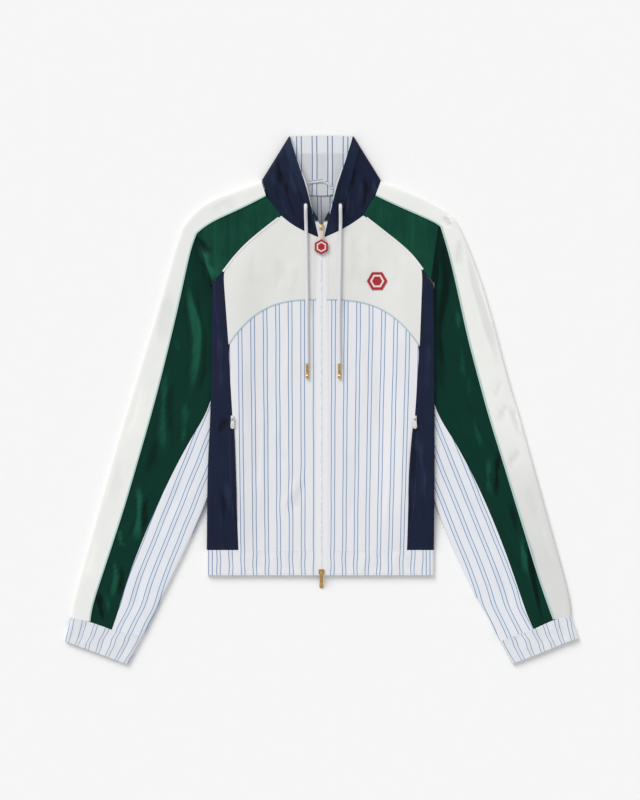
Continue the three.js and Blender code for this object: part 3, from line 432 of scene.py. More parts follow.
def striped_cloth(name, pitch, start, apart, line_colour, band_colour, ground, hatch, line=0.0015,
                  shade_share=0.84):
    """Cotton shirting with pairs of blue lines, with painted shade in its hollows and painted highlight on its
    ridges from the kept fold values; the last argument sets how dark the painted shade goes, as a share of the
    ground.
    """
    material, s, surface = new_material(name)
    place = s.node("ShaderNodeUVMap", uv_map="cloth").outputs["UV"]
    stripes = group_node(s, "stripes", {"Vector": place, "Pitch": pitch, "Start": start, "Apart": apart,
                                        "Line": line, "Hatch": hatch})
    threads_of = group_node(s, "weave", {"Vector": place, "Threads": 4200.0, "Fray": 0.5})
    fold = s.node("ShaderNodeAttribute", attribute_name="fold").outputs["Fac"]
    # Painted shade: the ground darkened by the given share; painted highlight: the ground a little lighter
    shade = group_node(s, "drape", {"Fold": fold, "Shade": threads_of.outputs["Shade"],
                                    "Deep": [v * shade_share for v in ground[:3]] + [1], "Plain": ground,
                                    "Bright": [min(v * 1.06, 0.95) for v in ground[:3]] + [1], "Cloud": 0.25})
    banded = s.mix(s.math("MULTIPLY", stripes.outputs["Band"], 0.8), shade.outputs["Color"], band_colour)
    lined = s.mix(stripes.outputs["Lines"], banded, line_colour)
    s.tree.links.new(lined, surface.inputs["Base Color"])
    set_surface(surface, Roughness=0.8, Sheen_Weight=0.1, Sheen_Roughness=0.5)
    bump(s, surface, threads_of.outputs["Height"], 0.00005, 0.5)
    return material


def metal_material(name, colour, worn, roughness, metallic):
    material, s, surface = new_material(name)
    place = s.node("ShaderNodeTexCoord").outputs["Object"]
    wear = group_node(s, "wear", {"Vector": place})
    s.tree.links.new(s.mix(wear.outputs["Mask"], colour, worn), surface.inputs["Base Color"])
    rough = s.math("ADD", s.math("MULTIPLY", wear.outputs["Mask"], 0.12), roughness)
    s.tree.links.new(rough, surface.inputs["Roughness"])
    surface.inputs["Metallic"].default_value = metallic
    bump(s, surface, wear.outputs["Height"], 0.00002, 0.4)
    return material


# Waves of the braid round the cord and along each metre of it
PLAIT_ROUND = 8 * math.pi
PLAIT_ALONG = 2600.0


def braid_material(name, light, dark):
    """Braided cord: diagonal plaits from the tube's own map, with painted shade darkening the grooves between
    them.
    """
    material, s, surface = new_material(name)
    place = s.node("ShaderNodeUVMap", uv_map="cloth").outputs["UV"]
    axes = s.node("ShaderNodeSeparateXYZ", {0: place})
    one, other = (
        s.math("SINE", s.math(way, s.math("MULTIPLY", axes.outputs["X"], PLAIT_ROUND),
                              s.math("MULTIPLY", axes.outputs["Y"], PLAIT_ALONG)))
        for way in ("ADD", "SUBTRACT"))
    plait = s.math("MULTIPLY", one, other)
    s.tree.links.new(s.mix(s.step(plait, -0.6, 0.5), dark, light), surface.inputs["Base Color"])
    set_surface(surface, Roughness=0.85, Sheen_Weight=0.2)
    bump(s, surface, plait, 0.0002, 0.7)
    return material


def thread_material(name, light, dark):
    """Twisted sewing thread."""
    material, s, surface = new_material(name)
    place = s.node("ShaderNodeTexCoord").outputs["Object"]
    wear = group_node(s, "wear", {"Vector": place, "Fine": 3200.0, "Broad": 420.0})
    s.tree.links.new(s.mix(wear.outputs["Mask"], light, dark), surface.inputs["Base Color"])
    set_surface(surface, Roughness=0.8, Sheen_Weight=0.2)
    bump(s, surface, wear.outputs["Height"], 0.00005, 0.5)
    return material


def patch_material(name, reach):
    """Embroidery in satin stitch: a red field with one white six-sided line inside its border."""
    material, s, surface = new_material(name)
    place = s.node("ShaderNodeUVMap", uv_map="cloth").outputs["UV"]
    sides = group_node(s, "six_sided", {"Vector": place, "Reach": reach}).outputs["Distance"]
    threads_of = group_node(s, "weave", {"Vector": place, "Threads": 5200.0, "Fray": 0.6})
    red = s.mix(threads_of.outputs["Shade"], rgb(160, 8, 26), rgb(188, 14, 36))
    ring = s.math("SUBTRACT", 1.0, s.step(s.math("ABSOLUTE", s.math("SUBTRACT", sides, 0.6)), 0.07, 0.12))
    tint = s.mix(ring, red, rgb(238, 228, 226))
    s.tree.links.new(tint, surface.inputs["Base Color"])
    axes = s.node("ShaderNodeSeparateXYZ", {0: place})
    thread = s.math("SINE", s.math("MULTIPLY", s.math("ADD", axes.outputs["X"], axes.outputs["Y"]), 9000.0))
    set_surface(surface, Roughness=0.6, Sheen_Weight=0.3)
    bump(s, surface, thread, 0.00012, 0.6)
    return material


# How the cloth lies: each fold is its half width and height in millimetres, then the points of its
# crest. A height below nothing is a hollow. Folds fade out at both ends. The arm, body and collar folds
# also set the painted highlight and painted shade in the cloth's colour.

ARM_FOLDS = [
    # Left sleeve, green front
    (9, 1.5, [(-197, 190), (-195, 145), (-185, 93), (-191, 28), (-202, -8)]),
    (7, -0.9, [(-186, 176), (-183, 140), (-174, 92), (-179, 34), (-190, -14)]),
    (8, 1.1, [(-230, 60), (-234, 6), (-236, -49), (-234, -108)]),
    (6, -0.7, [(-222, 34), (-225, -18), (-226, -70)]),
    (5, 0.9, [(-170, 40), (-169, 15), (-171, -8)]),
    (6, 1.0, [(-202, 8), (-204, -34), (-206, -78)]),
    (5, 0.8, [(-216, 97), (-214, 82), (-216, 66)]),
    (7, 1.8, [(-275, -118), (-269, -150), (-271, -180), (-276, -220)]),
    (5, -1.2, [(-265, -140), (-262, -170), (-265, -205)]),
    (5, 1.2, [(-300, -188), (-297, -206), (-293, -222)]),
    (5, 1.3, [(-311, -232), (-304, -254), (-312, -300)]),
    (4, -1.1, [(-298, -236), (-295, -262), (-301, -296)]),
    (5, -1.4, [(-333, -280), (-327, -305), (-320, -332)]),
    (4, 0.9, [(-322, -276), (-316, -302), (-311, -326)]),
    (6, -1.6, [(-186, 245), (-177, 229), (-167, 210)]),
    (8, 1.0, [(-181, 228), (-171, 202), (-160, 172)]),
    (7, -0.7, [(-246, -52), (-252, -84), (-262, -118)]),
    # Left sleeve, off-white strip
    (10, -0.8, [(-222, 166), (-232, 122), (-240, 70)]),
    (9, 0.7, [(-262, 20), (-272, -24), (-287, -66)]),
    (8, -0.7, [(-298, -88), (-303, -122), (-314, -160)]),
    (7, 0.6, [(-331, -206), (-337, -236), (-349, -270)]),
    (7, -0.6, [(-120, 298), (-146, 288), (-168, 275)]),
    # Right sleeve, off-white strip
    (4, -1.3, [(180, 272), (185, 262), (191, 252)]),
    (3, 1.0, [(187, 274), (192, 264), (197, 255)]),
    (6, -1.1, [(204, 240), (202, 218), (199, 192)]),
    (6, -1.5, [(211, 236), (225, 168), (234, 138), (251, 81), (263, 28)]),
    (7, 1.1, [(223, 222), (238, 165), (252, 118), (264, 66)]),
    (5, -1.2, [(265, 30), (259, 18), (252, 4)]),
    (5, -1.2, [(273, -2), (266, -16), (257, -33)]),
    (5, -1.3, [(277, -8), (283, -30), (291, -57)]),
    (6, 0.9, [(285, 0), (290, -24), (299, -50)]),
    (5, -1.1, [(275, -100), (284, -86), (296, -70)]),
    (7, -0.8, [(300, -128), (310, -158), (318, -186)]),
    (6, 0.7, [(324, -180), (336, -216), (347, -252)]),
    # Right sleeve, green front
    (8, -1.0, [(177, 240), (182, 180), (173, 110), (172, 50), (178, 2)]),
    (5, 0.9, [(199, 138), (199, 118), (200, 98)]),
    (5, 0.9, [(204, 88), (206, 58), (207, 24)]),
    (5, 0.8, [(216, 36), (216, 20), (217, 2)]),
    (5, -1.5, [(259, -72), (257, -110), (255, -150)]),
    (6, 1.1, [(246, -74), (244, -112), (246, -148)]),
    (5, -1.7, [(301, -192), (306, -222), (309, -254), (317, -292), (327, -334)]),
    (6, 1.2, [(292, -196), (296, -230), (300, -264)]),
    (5, 0.8, [(222, -20), (228, -48), (238, -78)]),
    (5, -0.8, [(276, -150), (282, -178), (290, -204)]),
    # Striped undersides of both sleeves
    (6, -1.0, [(-196, -112), (-222, -152), (-240, -196)]),
    (5, 0.9, [(-184, -120), (-208, -162), (-228, -206)]),
    (6, -1.1, [(-262, -244), (-270, -276), (-282, -316)]),
    (5, 0.9, [(-250, -254), (-259, -288), (-268, -322)]),
    (6, -1.0, [(192, -104), (214, -146), (234, -186)]),
    (5, 0.8, [(180, -118), (200, -160), (222, -204)]),
    (6, -1.1, [(256, -240), (266, -280), (280, -322)]),
    # Cuffs, drawn in by their elastic
    (4, 0.8, [(-366, -324), (-368, -338), (-371, -352)]),
    (4, -1.0, [(-351, -326), (-353, -342), (-358, -356)]),
    (5, 0.8, [(-333, -330), (-337, -346), (-342, -364)]),
    (4, -1.1, [(-316, -336), (-321, -352), (-326, -370)]),
    (5, 0.9, [(-299, -340), (-304, -358), (-311, -376)]),
    (4, -0.9, [(-281, -346), (-288, -364), (-295, -382)]),
    (4, -1.0, [(350, -326), (355, -342), (359, -356)]),
    (5, 0.9, [(334, -330), (338, -346), (344, -362)]),
    (4, -1.1, [(318, -336), (323, -352), (329, -368)]),
    (5, 0.8, [(299, -342), (304, -358), (311, -376)]),
    (4, -1.0, [(282, -346), (288, -364), (294, -382)]),
]

BODY_FOLDS = [
    # Yoke
    (8, -1.0, [(-64, 212), (-62, 188), (-66, 158)]),
    (9, 0.8, [(-44, 206), (-43, 182), (-46, 156)]),
    (5, -0.7, [(-13, 232), (-13, 200), (-12, 160)]),
    (9, -1.0, [(46, 252), (50, 205), (50, 152)]),
    (8, 0.8, [(66, 248), (68, 212), (72, 170)]),
    (8, -0.7, [(-98, 222), (-101, 192), (-98, 152)]),
    (8, -0.7, [(108, 214), (112, 190), (110, 160)]),
    # Fronts
    (6, -1.4, [(-22, -116), (-33, -141), (-47, -168)]),
    (6, 1.0, [(-33, -112), (-45, -136), (-58, -160)]),
    (8, 0.9, [(-87, 40), (-86, -40), (-88, -130), (-86, -200)]),
    (6, -0.8, [(-60, -36), (-60, -68), (-61, -104)]),
    (7, -0.8, [(-108, 60), (-106, 0), (-104, -64)]),
    (7, 0.8, [(-48, 120), (-47, 70), (-50, 14)]),
    (8, 0.9, [(60, 110), (58, 50), (60, -20)]),
    (7, -0.9, [(84, 70), (82, 10), (80, -70)]),
    (7, -0.9, [(44, -60), (46, -118), (42, -190)]),
    (8, 0.9, [(100, -50), (98, -120), (94, -200)]),
    (6, -0.7, [(118, 96), (117, 48), (114, -8)]),
    # Sides
    (6, -1.3, [(-139, -22), (-147, -38), (-155, -54)]),
    (7, 1.0, [(-145, -112), (-138, -147), (-131, -174)]),
    (6, -0.9, [(-152, -120), (-147, -152), (-141, -190)]),
    (6, 0.8, [(-151, 108), (-149, 60), (-150, 12)]),
    (6, 1.2, [(139, -46), (145, -86), (149, -112), (145, -160)]),
    (6, -1.0, [(132, -60), (136, -98), (137, -140)]),
    (6, 0.8, [(156, 96), (155, 50), (154, 2)]),
    # Hem band, drawn in by its elastic
    (5, -0.9, [(-132, -222), (-133, -240), (-131, -258)]),
    (5, 0.7, [(-112, -224), (-113, -240), (-112, -258)]),
    (6, -0.8, [(-92, -222), (-91, -240), (-93, -260)]),
    (5, 0.7, [(-70, -222), (-71, -242), (-70, -258)]),
    (5, -0.8, [(-46, -224), (-45, -240), (-46, -260)]),
    (5, -0.8, [(38, -222), (38, -240), (39, -258)]),
    (6, 0.7, [(62, -222), (62, -242), (61, -260)]),
    (5, -0.9, [(84, -224), (85, -240), (84, -258)]),
    (6, 0.7, [(108, -222), (108, -240), (109, -258)]),
    (5, -0.8, [(130, -224), (131, -242), (130, -260)]),
]

BACK_FOLDS = [
    (10, 1.0, [(-70, 150), (-64, 60), (-72, -40)]),
    (8, 0.8, [(20, 190), (14, 110), (20, 20)]),
    (11, 1.1, [(86, 120), (80, 10), (88, -110)]),
    (8, 0.8, [(-30, -60), (-24, -120), (-30, -190)]),
    (8, 0.8, [(-212, 120), (-206, 50), (-216, -20)]),
    (8, 0.9, [(-262, -100), (-272, -160), (-288, -230)]),
    (8, 0.8, [(214, 110), (208, 40), (220, -30)]),
    (8, 0.9, [(258, -96), (270, -160), (286, -226)]),
    (7, 0.8, [(320, -210), (328, -250), (336, -290)]),
    (7, 0.8, [(-322, -206), (-330, -250), (-338, -292)]),
]


COLLAR_FOLDS = [
    (4.5, -1.1, [(-66, 362), (-64, 336), (-61, 308)]),
    (3, -0.9, [(-56, 330), (-50, 300), (-38, 262)]),
    (5, 0.8, [(-47, 350), (-44, 322), (-37, 292)]),
    (3, 0.6, [(-62, 300), (-54, 280), (-44, 262)]),
    (3, -0.6, [(-70, 322), (-66, 302), (-58, 284)]),
    (4, 0.6, [(-76, 338), (-73, 322), (-68, 306)]),
    (4, -1.1, [(62, 334), (64, 306), (60, 276)]),
    (3, -0.9, [(48, 348), (47, 330), (44, 306)]),
    (3, 0.9, [(37, 312), (38, 290), (36, 268)]),
    (4, 0.7, [(55, 330), (55, 304), (52, 276)]),
    (3, -0.6, [(72, 330), (72, 312), (68, 296)]),
    (4, 0.6, [(46, 300), (45, 280), (42, 262)]),
    (4, -0.6, [(30, 300), (29, 276), (25, 258)]),
    (5, 0.7, [(78, 326), (76, 312), (73, 300)]),
]


def nearest_on(path, points):
    """For each point: its distance across the path, its share of the way along it, and its side of it."""
    lengths = np.r_[0, np.cumsum(np.linalg.norm(np.diff(path, axis=0), axis=1))]
    best = np.full(len(points), np.inf)
    share = np.zeros(len(points))
    turn = np.zeros(len(points))
    for i in range(len(path) - 1):
        a, b = path[i], path[i + 1]
        step = b - a
        t = np.clip(((points - a) @ step) / (step @ step), 0, 1)
        away = np.linalg.norm(points - a - t[:, None] * step, axis=1)
        nearer = away < best
        best[nearer] = away[nearer]
        share[nearer] = (lengths[i] + t[nearer] * (lengths[i + 1] - lengths[i])) / lengths[-1]
        rel = points[nearer] - a
        turn[nearer] = np.sign(step[0] * rel[:, 1] - step[1] * rel[:, 0])
    return best, share, turn


def fold_height(places, folds, lit=0.0):
    """How much the folds lift the cloth at these places, in metres. lit adds painted light on one flank and
    painted shade on the other, for the colour only.
    """
    lift = np.zeros(len(places))
    for width, height, crest in folds:
        path = smooth_path(np.array(crest) * MM, 6)
        reach = 2.2 * width * MM
        low, high = path.min(0) - reach, path.max(0) + reach
        near = np.where(((places > low) & (places < high)).all(axis=1))[0]
        if not len(near):
            continue
        away, share, turn = nearest_on(path, places[near])
        fade = ramp(share, 0, 0.3) * (1 - ramp(share, 0.65, 1))
        fade = np.where((share <= 0) | (share >= 1), 0, fade)
        wander = 0.78 + 0.24 * np.sin(7 * share + crest[0][0]) + 0.12 * np.sin(17 * share + crest[0][1])
        across = np.exp(-((away / (width * MM * wander)) ** 2))
        if lit:
            toward = away * turn / (width * MM * wander)
            across = across * 0.75 + lit * np.exp(-(((toward - 0.9) / 0.55) ** 2)) - lit * np.exp(
                -(((toward + 1.0) / 0.5) ** 2))
        lift[near] += height * MM * across * fade
    return lift


def soft_waves(places):
    """A faint unevenness over all the cloth, in metres."""
    x, y = places[:, 0] / MM, places[:, 1] / MM
    wave = np.sin(x / 17.3 + 1.7 * np.sin(y / 41)) * np.sin(y / 33.1 + 1.3 * np.sin(x / 37))
    fine = np.sin(x / 7.9 + 2.2 * np.sin(y / 23)) * np.sin(y / 11.3 + 1.9 * np.sin(x / 19))
    return (0.22 * wave + 0.1 * fine) * MM


def body_edges(rows, reach=0.03):
    """How far out the body reaches at each of these heights, from its own side panels."""
    edges = {}
    for side, sign in SIDES.items():
        points = points_of(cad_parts[f"side_{side}"])
        edges[side] = np.array([
            np.max(sign * points[np.abs(points[:, 1] - row) < reach, 0]) for row in rows
        ])
    return edges


EDGE_ROWS = np.arange(-0.22, 0.186, 0.01)
EDGES = body_edges(EDGE_ROWS)


def under_body(points):
    """1 well clear of the body's edge, 0 where the body lies on the sleeve."""
    x, y = points[:, 0], points[:, 1]
    out = np.where(x < 0, np.interp(y, EDGE_ROWS, EDGES["left"]), np.interp(y, EDGE_ROWS, EDGES["right"]))
    clear = ramp(np.abs(x) - out, 0.0, 0.012)
    shoulder = ramp(y, 0.150, 0.190)
    return np.maximum(clear, shoulder)


def calm_by_cords(points):
    """0 under the drawcords and the zip, 1 away from them."""
    x, y = points[:, 0], points[:, 1]
    cords = np.minimum(ramp(np.abs(x + 0.021), 0.006, 0.014), ramp(np.abs(x - 0.027), 0.006, 0.014))
    zone = ramp(y, 0.02, 0.035) * (1 - ramp(y, 0.262, 0.275))
    return 1 - zone * (1 - cords)


def body_relief(points):
    """Height added to the top of the body at these points."""
    places = points[:, :2]
    shoulder = 1 - ramp(places[:, 1], 0.236, 0.256) * ramp(np.abs(places[:, 0]), 0.05, 0.1)
    zip_calm = ramp(np.abs(places[:, 0]), 0.009, 0.02)
    lift = fold_height(places, BODY_FOLDS) * shoulder
    return (lift + soft_waves(places)) * calm_by_cords(points) * (0.3 + 0.7 * zip_calm)


def arm_relief(points):
    places = points[:, :2]
    return (fold_height(places, ARM_FOLDS) + soft_waves(places)) * under_body(points)


def relief_of(points, kind):
    """Height added at each point of a cloth piece, from which layer it lies in."""
    x, y, z = points.T
    if kind == "arm":
        top = ramp(z, 0.0025, 0.0052)
        lift = arm_relief(points) * top
        low = (1 - ramp(z, 0.0012, 0.003))
    else:
        base = body_low(x, y)
        top = ramp(z - base, 0.0025, 0.0052)
        lift = body_relief(points) * top
        low = (1 - ramp(z - base, 0.0012, 0.003))
        if kind == "collar":
            lift = fold_height(points[:, :2], COLLAR_FOLDS) * ramp(z, 0.006, 0.009) * 0.8
            low = low * 0
    under = np.maximum(fold_height(points[:, :2], BACK_FOLDS), 0)
    return lift + under * low


def sharpen(obj, angle):
    """Smooth shading, with edges that turn by more than the angle kept sharp."""
    bm = bmesh.new()
    bm.from_mesh(obj.data)
    for face in bm.faces:
        face.smooth = True
    limit = math.radians(angle)
    for edge in bm.edges:
        edge.smooth = edge.calc_face_angle(math.pi) < limit
    bm.to_mesh(obj.data)
    bm.free()


def meet_neighbour(obj, reach):
    """Move each rim out by this much, so that the cloth meets the piece sewn to it."""
    normals = np.empty(len(obj.data.vertices) * 3)
    obj.data.vertices.foreach_get("normal", normals)
    normals = normals.reshape(-1, 3)
    level = np.linalg.norm(normals[:, :2], axis=1)
    points = points_of(obj)
    step = reach * ramp(level, 0.35, 0.6) / np.maximum(level, 1e-6)
    points[:, :2] += normals[:, :2] * step[:, None]
    set_points(obj, points)


def dress(name, levels, relief=None, seam=HALF_SEAM):
    """A cloth piece on its solid's form: a copy of the solid, merged, smoothed and folded."""
    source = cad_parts[name]
    bm = bmesh.new()
    bm.from_mesh(source.data)
    bm.transform(source.matrix_world)
    bmesh.ops.remove_doubles(bm, verts=bm.verts, dist=2e-5)
    bmesh.ops.join_triangles(bm, faces=bm.faces, cmp_seam=False, cmp_sharp=False, cmp_uvs=False,
                             cmp_vcols=False, cmp_materials=False, angle_face_threshold=math.radians(20),
                             angle_shape_threshold=math.radians(60))
    crease = bm.edges.layers.float.new("crease_edge")
    for edge in bm.edges:
        if len(edge.link_faces) != 2 or edge.calc_face_angle() > math.radians(CREASE_ANGLE):
            edge[crease] = 1.0
    for face in bm.faces:
        face.smooth = True
    mesh = bpy.data.meshes.new(name + "_dressed")
    bm.to_mesh(mesh)
    bm.free()
    obj = link(name + "_dressed", mesh)
    smooth = obj.modifiers.new("smooth", "SUBSURF")
    smooth.levels = smooth.render_levels = levels
    plain_mesh(obj)
    if seam:
        meet_neighbour(obj, seam)
    points = points_of(obj)
    if relief:
        lift = relief_of(points, relief)
        points[:, 2] = np.maximum(points[:, 2] + lift, 0.0)
        set_points(obj, points)
    sharpen(obj, RIM_ANGLE)
    return obj


def beside(points, start, end):
    """How far each point is to the right of the line from start to end, in metres."""
    start, end = np.array(start) * MM, np.array(end) * MM
    way = (end - start) / np.linalg.norm(end - start)
    rel = points[:, :2] - start
    return rel[:, 0] * way[1] - rel[:, 1] * way[0]


# Painted light and shade added to the fold height, for the material: above 0 is painted highlight, below 0
# painted shade; the zip tape's values instead pick its own navy inside the collar and its white below.
# Lines are in millimetres and the rest in metres.
SHOULDER_LEFT = ((-160, 172), (-185, 244))
SHOULDER_RIGHT = ((172, 254), (160, 168))
SHOULDER_EDGE = (-0.001, 0.0015)
SHOULDER_FROM = (0.150, 0.175)
SHOULDER_SHADOW_FROM = (-0.03, 0.06)
SHOULDER_LIGHT, ARM_PLAIN = 0.42, 0.12
SHADOW_DEPTH = {"left": 0.5, "right": 0.85}
SHADOW_REACH = {"left": 0.012, "right": 0.016}
STITCH_LINE = 0.3637
COLLAR_BAND = 0.0135
COLLAR_SEAMS = {"left": ((-46.5, 388), (0.7, 262.5)), "right": ((45.7, 388), (12.5, 262.5))}
COLLAR_MIDDLE = 5 * MM


def by_side(points, values):
    """The left value left of the middle and the right one elsewhere."""
    return np.where(points[:, 0] < 0, values["left"], values["right"])


def shoulder_shade(points):
    """Painted light makes the green lighter over the shoulders, painted shadow darkens it where each sleeve
    turns down from it, and painted shade darkens the rest of each sleeve a little.
    """
    y = points[:, 1]
    past = by_side(points, {"left": beside(points, *SHOULDER_LEFT), "right": beside(points, *SHOULDER_RIGHT)})
    light = ramp(past, *SHOULDER_EDGE) * ramp(y, *SHOULDER_FROM)
    near = np.exp(-np.maximum(-past, 0) / by_side(points, SHADOW_REACH)) * ramp(y, *SHOULDER_SHADOW_FROM)
    dark = by_side(points, SHADOW_DEPTH) * near * (1 - light)
    return SHOULDER_LIGHT * light - dark - ARM_PLAIN * (1 - light)


def lining_shade(points):
    """The lining is in the collar's own shadow below its line of stitches."""
    return 0.1 - 0.55 * (1 - ramp(points[:, 1], STITCH_LINE - 0.0012, STITCH_LINE + 0.0006))


def neck_shade(points):
    """Painted shade: the inside of the back goes darker toward the slider, deep in the neck under the collar.
    """
    return -0.1 - 1.2 * (1 - ramp(points[:, 1], 0.246, 0.300))


def tape_shade(points):
    """The tape is navy inside the collar and white below it."""
    return 0.35 - 1.65 * ramp(points[:, 1], 0.2585, 0.2655)


def strip_shade(points):
    """Painted light: the left strip is painted bright all the way; the right one gets painted shade toward its
    cuff.
    """
    y = points[:, 1]
    left = 0.72 - 0.1 * ramp(y, -0.05, 0.2)
    right = 0.75 - 0.95 * (1 - ramp(y, -0.24, -0.02))
    return by_side(points, {"left": left, "right": right})


def collar_shade(points):
    """A painted highlight on the collar's folded-back edge along the neck, with a line of painted shade beside
    it.
    """
    left = beside(points, *COLLAR_SEAMS["left"])
    right = -beside(points, *COLLAR_SEAMS["right"])
    away = np.where(points[:, 0] < COLLAR_MIDDLE, left, right)
    band = 1 - ramp(away, COLLAR_BAND, COLLAR_BAND + 0.0025)
    valley = np.exp(-(((away - COLLAR_BAND - 0.002) / 0.0016) ** 2))
    return 0.4 * band - 0.55 * valley


SHADES = {
    "sleeve_strip": strip_shade, "collar_outer": collar_shade, "sleeve_front": shoulder_shade,
    "collar_inner": lining_shade, "back": neck_shade, "zip_tape": tape_shade,
}

# How much of a fold's painted light lies on one flank, with painted shade on the other, and the strongest value
# kept
FLANK = 0.5
FOLD_LIMIT = 1.3


def keep_fold(obj, kind, scale, shade):
    """Keep the height of the folds on each point, with the piece's painted light and shade, for the material's
    painted highlight and shade.
    """
    points = points_of(obj)
    if kind == "arm":
        lift = fold_height(points[:, :2], ARM_FOLDS, FLANK) * under_body(points)
    elif kind == "collar":
        lift = fold_height(points[:, :2], COLLAR_FOLDS, FLANK) * ramp(points[:, 2], 0.006, 0.009)
    else:
        lift = fold_height(points[:, :2], BODY_FOLDS, FLANK) * calm_by_cords(points)
    value = lift / MM * scale
    # The piece's own painted light and shade, by place
    if shade:
        value = value + shade(points)
    value = np.clip(value, -FOLD_LIMIT, FOLD_LIMIT)
    layer = obj.data.attributes.new("fold", "FLOAT", "POINT")
    layer.data.foreach_set("value", value.astype(np.float32))


def keep_map(obj, across, along):
    """A map of the cloth in metres, from the two functions of place."""
    points = points_of(obj)
    u, v = across(points), along(points)
    layer = obj.data.uv_layers.new(name="cloth")
    corner = np.empty(len(obj.data.loops), dtype=np.int32)
    obj.data.loops.foreach_get("vertex_index", corner)
    layer.data.foreach_set("uv", np.stack([u[corner], v[corner]], axis=1).astype(np.float32).ravel())


# Which way the stripes run on each piece

FRONT_FAN = {"left": 0.035, "right": 0.08}
FAN_TOP = 0.146
FAN_LONG = 0.367
SLEEVE_SLANT = math.radians(21.8)
CUFF_BEND = (0.305, 0.022, 0.0036)
CUFF_TOP = {"left": ((-0.369, -0.320), (-0.263, -0.348)), "right": ((0.368, -0.319), (0.263, -0.355))}
CUFF_SLANT = (math.radians(15), math.radians(28))


def front_across(side):
    def across(points):
        t = (FAN_TOP - points[:, 1]) / FAN_LONG
        fanned = points[:, 0] / (1 - FRONT_FAN[side] * np.clip(t, -0.1, 1.2))
        if side == "left":
            crease = beside(points, (-20, -108), (-56, -180))
            near = ramp(points[:, 1], -0.19, -0.15) * (1 - ramp(points[:, 1], -0.13, -0.09))
            fanned = fanned + 0.0016 * near * ramp(crease, -0.006, 0.006) * (1 - ramp(crease, 0.006, 0.03))
        low = 1 - ramp(points[:, 1], -0.232, -0.212)
        return fanned + low * 0.0005 * np.sin(points[:, 1] / 0.006 + points[:, 0] / 0.012)
    return across


def sleeve_across(side):
    sign = SIDES[side]

    def across(points):
        bend = np.exp(-(((points[:, 1] + CUFF_BEND[0]) / CUFF_BEND[1]) ** 2)) * CUFF_BEND[2]
        wavy = 0.00022 * np.sin(points[:, 1] / 0.011 + 2 * np.sin(points[:, 0] / 0.03))
        x = points[:, 0] + sign * bend + wavy
        return x * math.cos(SLEEVE_SLANT) + sign * points[:, 1] * math.sin(SLEEVE_SLANT)
    return across


def sleeve_along(side):
    sign = SIDES[side]
    return lambda points: points[:, 1] * math.cos(SLEEVE_SLANT) - sign * points[:, 0] * math.sin(SLEEVE_SLANT)


def arm_across(side):
    """Across the sleeve, bending from upright at the shoulder to the sleeve's own slant."""
    sign = SIDES[side]

    def across(points):
        down = 0.18 - points[:, 1]
        run = 0.12 * np.clip(down, 0, None) + 0.45 * np.clip(down - 0.09, 0, None)
        return points[:, 0] - sign * run
    return across


def cuff_across(side):
    outer, inner = (np.array(p) for p in CUFF_TOP[side])
    line = inner - outer
    wide = np.linalg.norm(line)
    line = line / wide
    sign = SIDES[side]

    def across(points):
        rel = points[:, :2] - outer
        s = rel @ line
        down = -(rel[:, 1] - line[1] * s)
        for _ in range(4):
            share = np.clip(s / wide, -0.2, 1.2)
            slant = CUFF_SLANT[0] + (CUFF_SLANT[1] - CUFF_SLANT[0]) * share
            run = sign * np.tan(slant) * down
            s = (rel[:, 0] - run) / line[0]
        return s + 0.0007 * np.sin(down / 0.006 + s / 0.013) + 0.0004 * np.sin(down / 0.0034 + s / 0.007)
    return across


def loop_across(points):
    """Across the hanger loop, which slopes up to the right."""
    return points[:, 1] - 0.13 * (points[:, 0] + 0.0258)


def up_down(points):
    return points[:, 1]


def left_right(points):
    return points[:, 0]


# Making the pieces

def tube(name, path, radius, sides=16):
    """A round tube along a path, with a map running round and along it."""
    path = np.array(path, float)
    along = np.r_[0, np.cumsum(np.linalg.norm(np.diff(path, axis=0), axis=1))]
    tangent = np.gradient(path, axis=0)
    tangent /= np.linalg.norm(tangent, axis=1)[:, None]
    normal = np.array([1.0, 0, 0]) - tangent * tangent[:, :1]
    normal /= np.linalg.norm(normal, axis=1)[:, None]
    other = np.cross(tangent, normal)
    turn = np.linspace(0, 2 * math.pi, sides, endpoint=False)
    rings = (path[:, None] + radius * (np.cos(turn)[None, :, None] * normal[:, None]
                                       + np.sin(turn)[None, :, None] * other[:, None]))
    points = [*rings.reshape(-1, 3), path[0], path[-1]]
    faces, maps = [], []
    count = len(path)
    for i in range(count - 1):
        for j in range(sides):
            k = (j + 1) % sides
            faces.append((i * sides + j, i * sides + k, (i + 1) * sides + k, (i + 1) * sides + j))
            a, b = j / sides, (j + 1) / sides
            maps.append([(a, along[i]), (b, along[i]), (b, along[i + 1]), (a, along[i + 1])])
    first, last = count * sides, count * sides + 1
    for j in range(sides):
        k = (j + 1) % sides
        faces.append((first, k, j))
        maps.append([(0.5, 0), (0, 0), (1, 0)])
        faces.append((last, (count - 1) * sides + j, (count - 1) * sides + k))
        maps.append([(0.5, along[-1]), (0, along[-1]), (1, along[-1])])
    mesh = bpy.data.meshes.new(name)
    mesh.from_pydata([tuple(p) for p in points], [], faces)
    layer = mesh.uv_layers.new(name="cloth")
    layer.data.foreach_set("uv", np.array([uv for face in maps for uv in face], dtype=np.float32).ravel())
    mesh.shade_smooth()
    return link(name, mesh)


def paint(obj, material):
    obj.data.materials.clear()
    obj.data.materials.append(material)


def repaint(name, material):
    """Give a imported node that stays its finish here."""
    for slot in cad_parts[name].material_slots:
        slot.material = material


def place_piece(obj, body, slot, *nodes):
    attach(obj, body)
    if nodes:
        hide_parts(*nodes)
    return obj


GRAIN_SEED = 7


